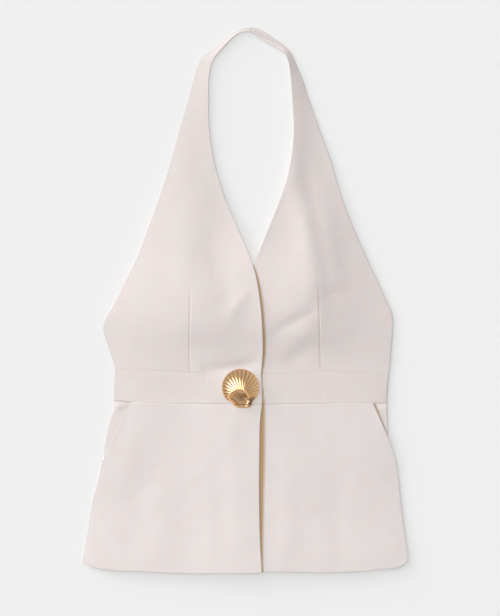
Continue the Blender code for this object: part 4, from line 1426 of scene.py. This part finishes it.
@dataclass(frozen=True)
class CrepeFinish:
    """Ivory crepe: a fine weave with crosswise slubs, with a warm painted shade in creases, beside the lap
    and in pocket mouths, and painted shade at its borders.
    """

    name: str = "ivory_crepe"
    colour: Triple = (0.768, 0.706, 0.692)
    shade: Triple = (0.50, 0.33, 0.18)
    shade_power: float = 0.8
    roughness: float = 0.88
    specular: float = 0.25
    sheen: float = 0.12
    sheen_roughness: float = 0.45
    slub_scale: Triple = (28.0, 780.0, 200.0)
    warp_scale: Triple = (620.0, 22.0, 200.0)
    patch_scale: Triple = (60.0, 45.0, 60.0)
    mottle_scale: float = 30.0
    mottle: float = 0.008
    darkest: float = 0.965
    lightest: float = 1.029
    painted_rim_shade: float = 0.05
    thread: float = 0.0006
    bands_per_thread: float = 0.31
    slub_bump: float = 3.0
    bump: float = 0.22
    bump_height: float = 0.0001

    def make(self) -> bpy.types.Material:
        """Makes the material.

        Returns:
            The crepe material.
        """
        nodes = new_material(self.name)
        place = nodes.add("ShaderNodeTexCoord").outputs["Object"]
        slub = nodes.noise(nodes.stretch(place, self.slub_scale), 1.0, 2.0)
        warp = nodes.noise(nodes.stretch(place, self.warp_scale), 1.0, 2.0)
        mottle = nodes.noise(place, self.mottle_scale, 3.0)
        tone = nodes.math("ADD", slub, nodes.math("ADD", warp, mottle))
        tone = nodes.spread(tone, 0.9, 2.1, self.darkest, self.lightest)
        base = self.mottled(nodes, place, nodes.scaled(self.colour, tone))
        # Painted shade: the colour darkens near turned and sewn borders, most on the walls and the
        # underside's edge.
        rim = nodes.add("ShaderNodeAttribute", attribute_name="rim").outputs["Fac"]
        base = nodes.scaled(base, nodes.spread(rim, 0.0, 1.0, 1.0, self.painted_rim_shade))
        # Painted shade: the colour turns to the warm shade colour where the cloth lies in the lap's crease,
        # the dart's groove or a pocket's mouth.
        painted_shade = nodes.add("ShaderNodeAttribute", attribute_name="painted_shade").outputs["Fac"]
        painted_shade = nodes.math("POWER", painted_shade, self.shade_power)
        inputs = {0: painted_shade, 6: base, 7: (*self.shade, 1.0)}
        nodes.drive("Base Color", nodes.add("ShaderNodeMix", inputs, data_type="RGBA").outputs[2])
        weave = nodes.math("ADD", self.threads(nodes, place, "Y"), self.threads(nodes, place, "X"))
        weave = nodes.math("MULTIPLY_ADD", slub, self.slub_bump, weave)
        inputs = {"Height": weave, "Strength": self.bump, "Distance": self.bump_height}
        nodes.drive("Normal", nodes.add("ShaderNodeBump", inputs).outputs["Normal"])
        nodes.shader.inputs["Roughness"].default_value = self.roughness
        nodes.shader.inputs["Specular IOR Level"].default_value = self.specular
        nodes.shader.inputs["Sheen Weight"].default_value = self.sheen
        nodes.shader.inputs["Sheen Roughness"].default_value = self.sheen_roughness
        return nodes.material

    def mottled(
        self, nodes: Nodes, place: bpy.types.NodeSocket, base: bpy.types.NodeSocket
    ) -> bpy.types.NodeSocket:
        """Gives a colour soft patches that lean to rose and to grey.

        Args:
            nodes: the material's nodes.
            place: the place on the piece.
            base: the colour so far.

        Returns:
            The patched colour.
        """
        patches = nodes.noise(nodes.stretch(place, self.patch_scale), 1.0, 2.0)
        patches = nodes.spread(patches, 0.3, 0.7, 0.0, 1.0)
        more, less = 1 + self.mottle, 1 - self.mottle
        inputs = {0: patches, 6: (more, less, less, 1.0), 7: (less, more, 1.0, 1.0)}
        tint = nodes.add("ShaderNodeMix", inputs, data_type="RGBA").outputs[2]
        return nodes.add("ShaderNodeVectorMath", {0: base, 1: tint}, operation="MULTIPLY").outputs[0]

    def threads(self, nodes: Nodes, place: bpy.types.NodeSocket, axis: str) -> bpy.types.NodeSocket:
        """The threads that run one way.

        Args:
            nodes: the material's nodes.
            place: the place on the piece.
            axis: the axis across the threads.

        Returns:
            Their height, from 0 to 1.
        """
        scale = self.bands_per_thread / self.thread
        inputs = {"Vector": place, "Scale": scale, "Distortion": 0.6, "Detail": 1.0}
        return nodes.add("ShaderNodeTexWave", inputs, bands_direction=axis).outputs["Fac"]


@dataclass(frozen=True)
class GoldFinish:
    """Cast gold plate: bright gold on the crests, with painted shade that turns it brown in the grooves,
    the hollow and beside the plain ear, and a faint cast grain.
    """

    name: str = "brushed_gold"
    crest: Triple = (0.93, 0.58, 0.29)
    groove: Triple = (0.30, 0.175, 0.085)
    smoothest: float = 0.10
    roughest: float = 0.23
    grain: float = 900.0
    bump: float = 0.3
    bump_height: float = 0.00006
    coat: float = 0.8
    coat_roughness: float = 0.12

    def make(self) -> bpy.types.Material:
        """Makes the material.

        Returns:
            The gold material.
        """
        nodes = new_material(self.name)
        place = nodes.add("ShaderNodeTexCoord").outputs["Object"]
        # Painted shade: the colour runs from the crest gold to the groove brown by the shade attribute.
        depth = nodes.add("ShaderNodeAttribute", attribute_name="groove").outputs["Fac"]
        grain = nodes.noise(place, self.grain, 3.0)
        inputs = {0: depth, 6: (*self.crest, 1.0), 7: (*self.groove, 1.0)}
        nodes.drive("Base Color", nodes.add("ShaderNodeMix", inputs, data_type="RGBA").outputs[2])
        nodes.drive("Roughness", nodes.spread(grain, 0.3, 0.7, self.smoothest, self.roughest))
        inputs = {"Height": grain, "Strength": self.bump, "Distance": self.bump_height}
        nodes.drive("Normal", nodes.add("ShaderNodeBump", inputs).outputs["Normal"])
        nodes.shader.inputs["Metallic"].default_value = 1.0
        nodes.shader.inputs["Coat Weight"].default_value = self.coat
        nodes.shader.inputs["Coat Roughness"].default_value = self.coat_roughness
        return nodes.material


@dataclass(frozen=True)
class FloorFinish:
    """The pale matt paper below the top."""

    name: str = "pale_floor"
    colour: Triple = (0.86, 0.86, 0.86)

    def make(self) -> bpy.types.Material:
        """Makes the material."""
        nodes = new_material(self.name)
        nodes.shader.inputs["Base Color"].default_value = (*self.colour, 1.0)
        nodes.shader.inputs["Roughness"].default_value = 0.95
        nodes.shader.inputs["Specular IOR Level"].default_value = 0.1
        return nodes.material


@dataclass
class Studio:
    """The floor, the soft light from the upper left, and the camera straight above."""

    frame_width: float = 650.0
    centre_x: float = -1.3
    centre_y: float = 104.8
    distance: float = 5.0
    sky: float = 0.32
    azimuth: float = 143.0
    key: Triple = (0.8, 40.0, 60.0)
    low: Triple = (1.5, 10.0, 20.0)
    shape: Triple = (2.5, 34.0, 20.0)
    floor_half: float = 15.0
    floor_height: float = -0.0002
    sensor: float = 36.0
    gold_glow: float = 12.0
    panel: tuple[float, float] = (60.0, 170.0)
    room: tuple[tuple[float, float], ...] = (
        (0.0, 0.035), (0.3, 0.06), (0.5, 0.056), (0.75, 0.047), (0.93, 0.044), (0.965, 0.07),
        (0.985, 0.55), (1.0, 0.8),
    )

    def floor(self) -> bpy.types.Object:
        """A wide plane just below the cloth."""
        mesh = bpy.data.meshes.new("floor")
        half, z = self.floor_half, self.floor_height
        corners = [(-half, -half, z), (half, -half, z), (half, half, z), (-half, half, z)]
        mesh.from_pydata(corners, [], [(0, 1, 2, 3)])
        mesh.materials.append(FloorFinish().make())
        floor = bpy.data.objects.new("floor", mesh)
        bpy.context.scene.collection.objects.link(floor)
        return floor

    def lights(self) -> None:
        """An even sky, a soft key light, a low light for wide shadows, and one that shows the fullness."""
        self.sky_light()
        self.sun("key", *self.key, casts=True)
        self.sun("low", *self.low, casts=True)
        self.sun("shape", *self.shape, casts=False)

    def sun(self, name: str, energy: float, elevation: float, softness: float, casts: bool) -> None:
        """Adds a light from the upper left.

        Args:
            name: its name.
            energy: its strength.
            elevation: its height above the table, in degrees.
            softness: how wide it is, in degrees.
            casts: whether pieces cast shadows in it.
        """
        sun = bpy.data.lights.new(name, "SUN")
        sun.energy = energy
        sun.angle = math.radians(softness)
        sun.use_shadow = casts
        lamp = bpy.data.objects.new(name, sun)
        lamp.visible_glossy = False
        towards = Vector(self.direction(elevation, self.azimuth))
        lamp.rotation_euler = towards.to_track_quat("Z", "Y").to_euler()
        bpy.context.scene.collection.objects.link(lamp)

    def sky_light(self) -> None:
        """An even sky for the cloth, and for the metal a dim room with one bright panel at the left."""
        world = bpy.data.worlds.new("studio")
        bpy.context.scene.world = world
        world.use_nodes = True
        tree = world.node_tree
        tree.nodes.clear()
        out = tree.nodes.new("ShaderNodeOutputWorld")
        even = tree.nodes.new("ShaderNodeBackground")
        even.inputs["Color"].default_value = (1.0, 1.0, 1.0, 1.0)
        even.inputs["Strength"].default_value = self.sky
        room = tree.nodes.new("ShaderNodeBackground")
        room.inputs["Strength"].default_value = self.gold_glow
        tones = tree.nodes.new("ShaderNodeValToRGB")
        ramp = tones.color_ramp
        while len(ramp.elements) < len(self.room):
            ramp.elements.new(0.5)
        for element, (place, tone) in zip(ramp.elements, self.room):
            element.position = place
            element.color = (tone, tone, tone, 1.0)
        place = tree.nodes.new("ShaderNodeTexCoord")
        facing = tree.nodes.new("ShaderNodeVectorMath")
        facing.operation = "DOT_PRODUCT"
        facing.inputs[1].default_value = self.direction(*self.panel)
        share = tree.nodes.new("ShaderNodeMapRange")
        share.inputs["From Min"].default_value = -1.0
        tree.links.new(place.outputs["Generated"], facing.inputs[0])
        tree.links.new(facing.outputs["Value"], share.inputs["Value"])
        tree.links.new(share.outputs[0], tones.inputs["Fac"])
        tree.links.new(tones.outputs["Color"], room.inputs["Color"])
        path = tree.nodes.new("ShaderNodeLightPath")
        mix = tree.nodes.new("ShaderNodeMixShader")
        tree.links.new(path.outputs["Is Glossy Ray"], mix.inputs["Fac"])
        tree.links.new(even.outputs[0], mix.inputs[1])
        tree.links.new(room.outputs[0], mix.inputs[2])
        tree.links.new(mix.outputs[0], out.inputs["Surface"])

    @staticmethod
    def direction(elevation: float, azimuth: float) -> tuple[float, float, float]:
        """Unit vector towards a light, from its elevation and its azimuth from +X, in degrees."""
        up, turn = math.radians(elevation), math.radians(azimuth)
        return (math.cos(up) * math.cos(turn), math.cos(up) * math.sin(turn), math.sin(up))

    def camera(self) -> None:
        """A long lens straight above, framed as the photograph is."""
        lens = bpy.data.cameras.new("camera")
        lens.sensor_fit = "HORIZONTAL"
        lens.sensor_width = self.sensor
        lens.lens = self.sensor * self.distance / (self.frame_width * MM)
        lens.clip_end = 50.0
        camera = bpy.data.objects.new("camera", lens)
        bpy.context.scene.collection.objects.link(camera)
        camera.location = (self.centre_x * MM, self.centre_y * MM, self.distance)
        bpy.context.scene.camera = camera

    def tone(self) -> None:
        """Plain tones, so that the paper and the cloth keep the light that falls on them."""
        bpy.context.scene.view_settings.view_transform = "Standard"
        bpy.context.scene.view_settings.look = "None"


def dress(wall: ClothWall, crepe: bpy.types.Material) -> bpy.types.Object:
    """Args:
        wall: the piece's wall.
        crepe: the cloth's material.

    Returns:
        The new piece.
    """
    piece = wall.build()
    piece.name = f"{wall.name}_cloth"
    piece.data.materials.append(crepe)
    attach(piece, "root")
    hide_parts(wall.name)
    return piece


def main() -> None:
    """Builds the studio and every piece of the top, and logs the button's face count."""
    logging.basicConfig(level=logging.INFO, format="%(message)s")
    studio = Studio()
    studio.tone()
    studio.floor()
    studio.lights()
    studio.camera()
    crepe = CrepeFinish().make()
    # Painted shade: the bodices and the waistbands take darker copies of the same crepe.
    bodice_shaded_crepe = CrepeFinish("ivory_crepe_bodice_shaded", colour=(0.752, 0.686, 0.671)).make()
    band_shaded_crepe = CrepeFinish("ivory_crepe_band_shaded", colour=(0.747, 0.678, 0.661)).make()
    gold = GoldFinish().make()

    for panel in back_panels():
        dress(panel.wall(), crepe)
    hips = [
        PocketPiece(
            "pocket_piece_right", RIGHT_SIDE_EDGE, RIGHT_LOWER_SEAM, RIGHT_POCKET,
            MouthShade(width=1.0, strength=0.0), side_rise=0.25,
        ),
        PocketPiece(
            "pocket_piece_left", LEFT_SIDE_EDGE, LEFT_LOWER_SEAM, LEFT_POCKET,
            MouthShade(width=3.4, strength=1.0), side_rise=0.0,
        ),
    ]
    for hip in hips:
        dress(hip.wall(), crepe)
    left, right = Layer.UNDER, Layer.OVER
    bodice_left = FrontBodice("front_bodice_left", LEFT_SECTIONS, LEFT_UPPER_SEAM, LEFT_DART, left)
    bodice_right = FrontBodice("front_bodice_right", RIGHT_SECTIONS, RIGHT_UPPER_SEAM, RIGHT_DART, right)
    band_left = FrontWaistband(
        "front_waistband_left", LEFT_FRONT_EDGE, LEFT_SIDE_EDGE, LEFT_LOWER_SEAM, LEFT_UPPER_SEAM, left
    )
    band_right = FrontWaistband(
        "front_waistband_right", RIGHT_FRONT_EDGE, RIGHT_SIDE_EDGE, RIGHT_LOWER_SEAM, RIGHT_UPPER_SEAM,
        right,
    )
    skirt_left = FrontPeplum(
        "front_peplum_left", LEFT_FRONT_EDGE, LEFT_SIDE_EDGE, LEFT_LOWER_SEAM, LEFT_HEM, LEFT_POCKET,
        left, 0.9,
    )
    skirt_right = FrontPeplum(
        "front_peplum_right", RIGHT_FRONT_EDGE, RIGHT_SIDE_EDGE, RIGHT_LOWER_SEAM, RIGHT_HEM, RIGHT_POCKET,
        right, 0.2,
    )
    dress(bodice_left.wall(), bodice_shaded_crepe)
    dress(bodice_right.wall(), bodice_shaded_crepe)
    dress(band_left.wall(), band_shaded_crepe)
    dress(band_right.wall(), band_shaded_crepe)
    dress(skirt_left.wall(), crepe)
    dress(skirt_right.wall(), crepe)

    button = ShellButton()
    piece = button.build()
    piece.data.materials.append(gold)
    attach(piece, "root")
    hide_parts(button.node)
    log.info("%s: %d faces", piece.name, len(piece.data.polygons))


if __name__ == "__main__":
    main()
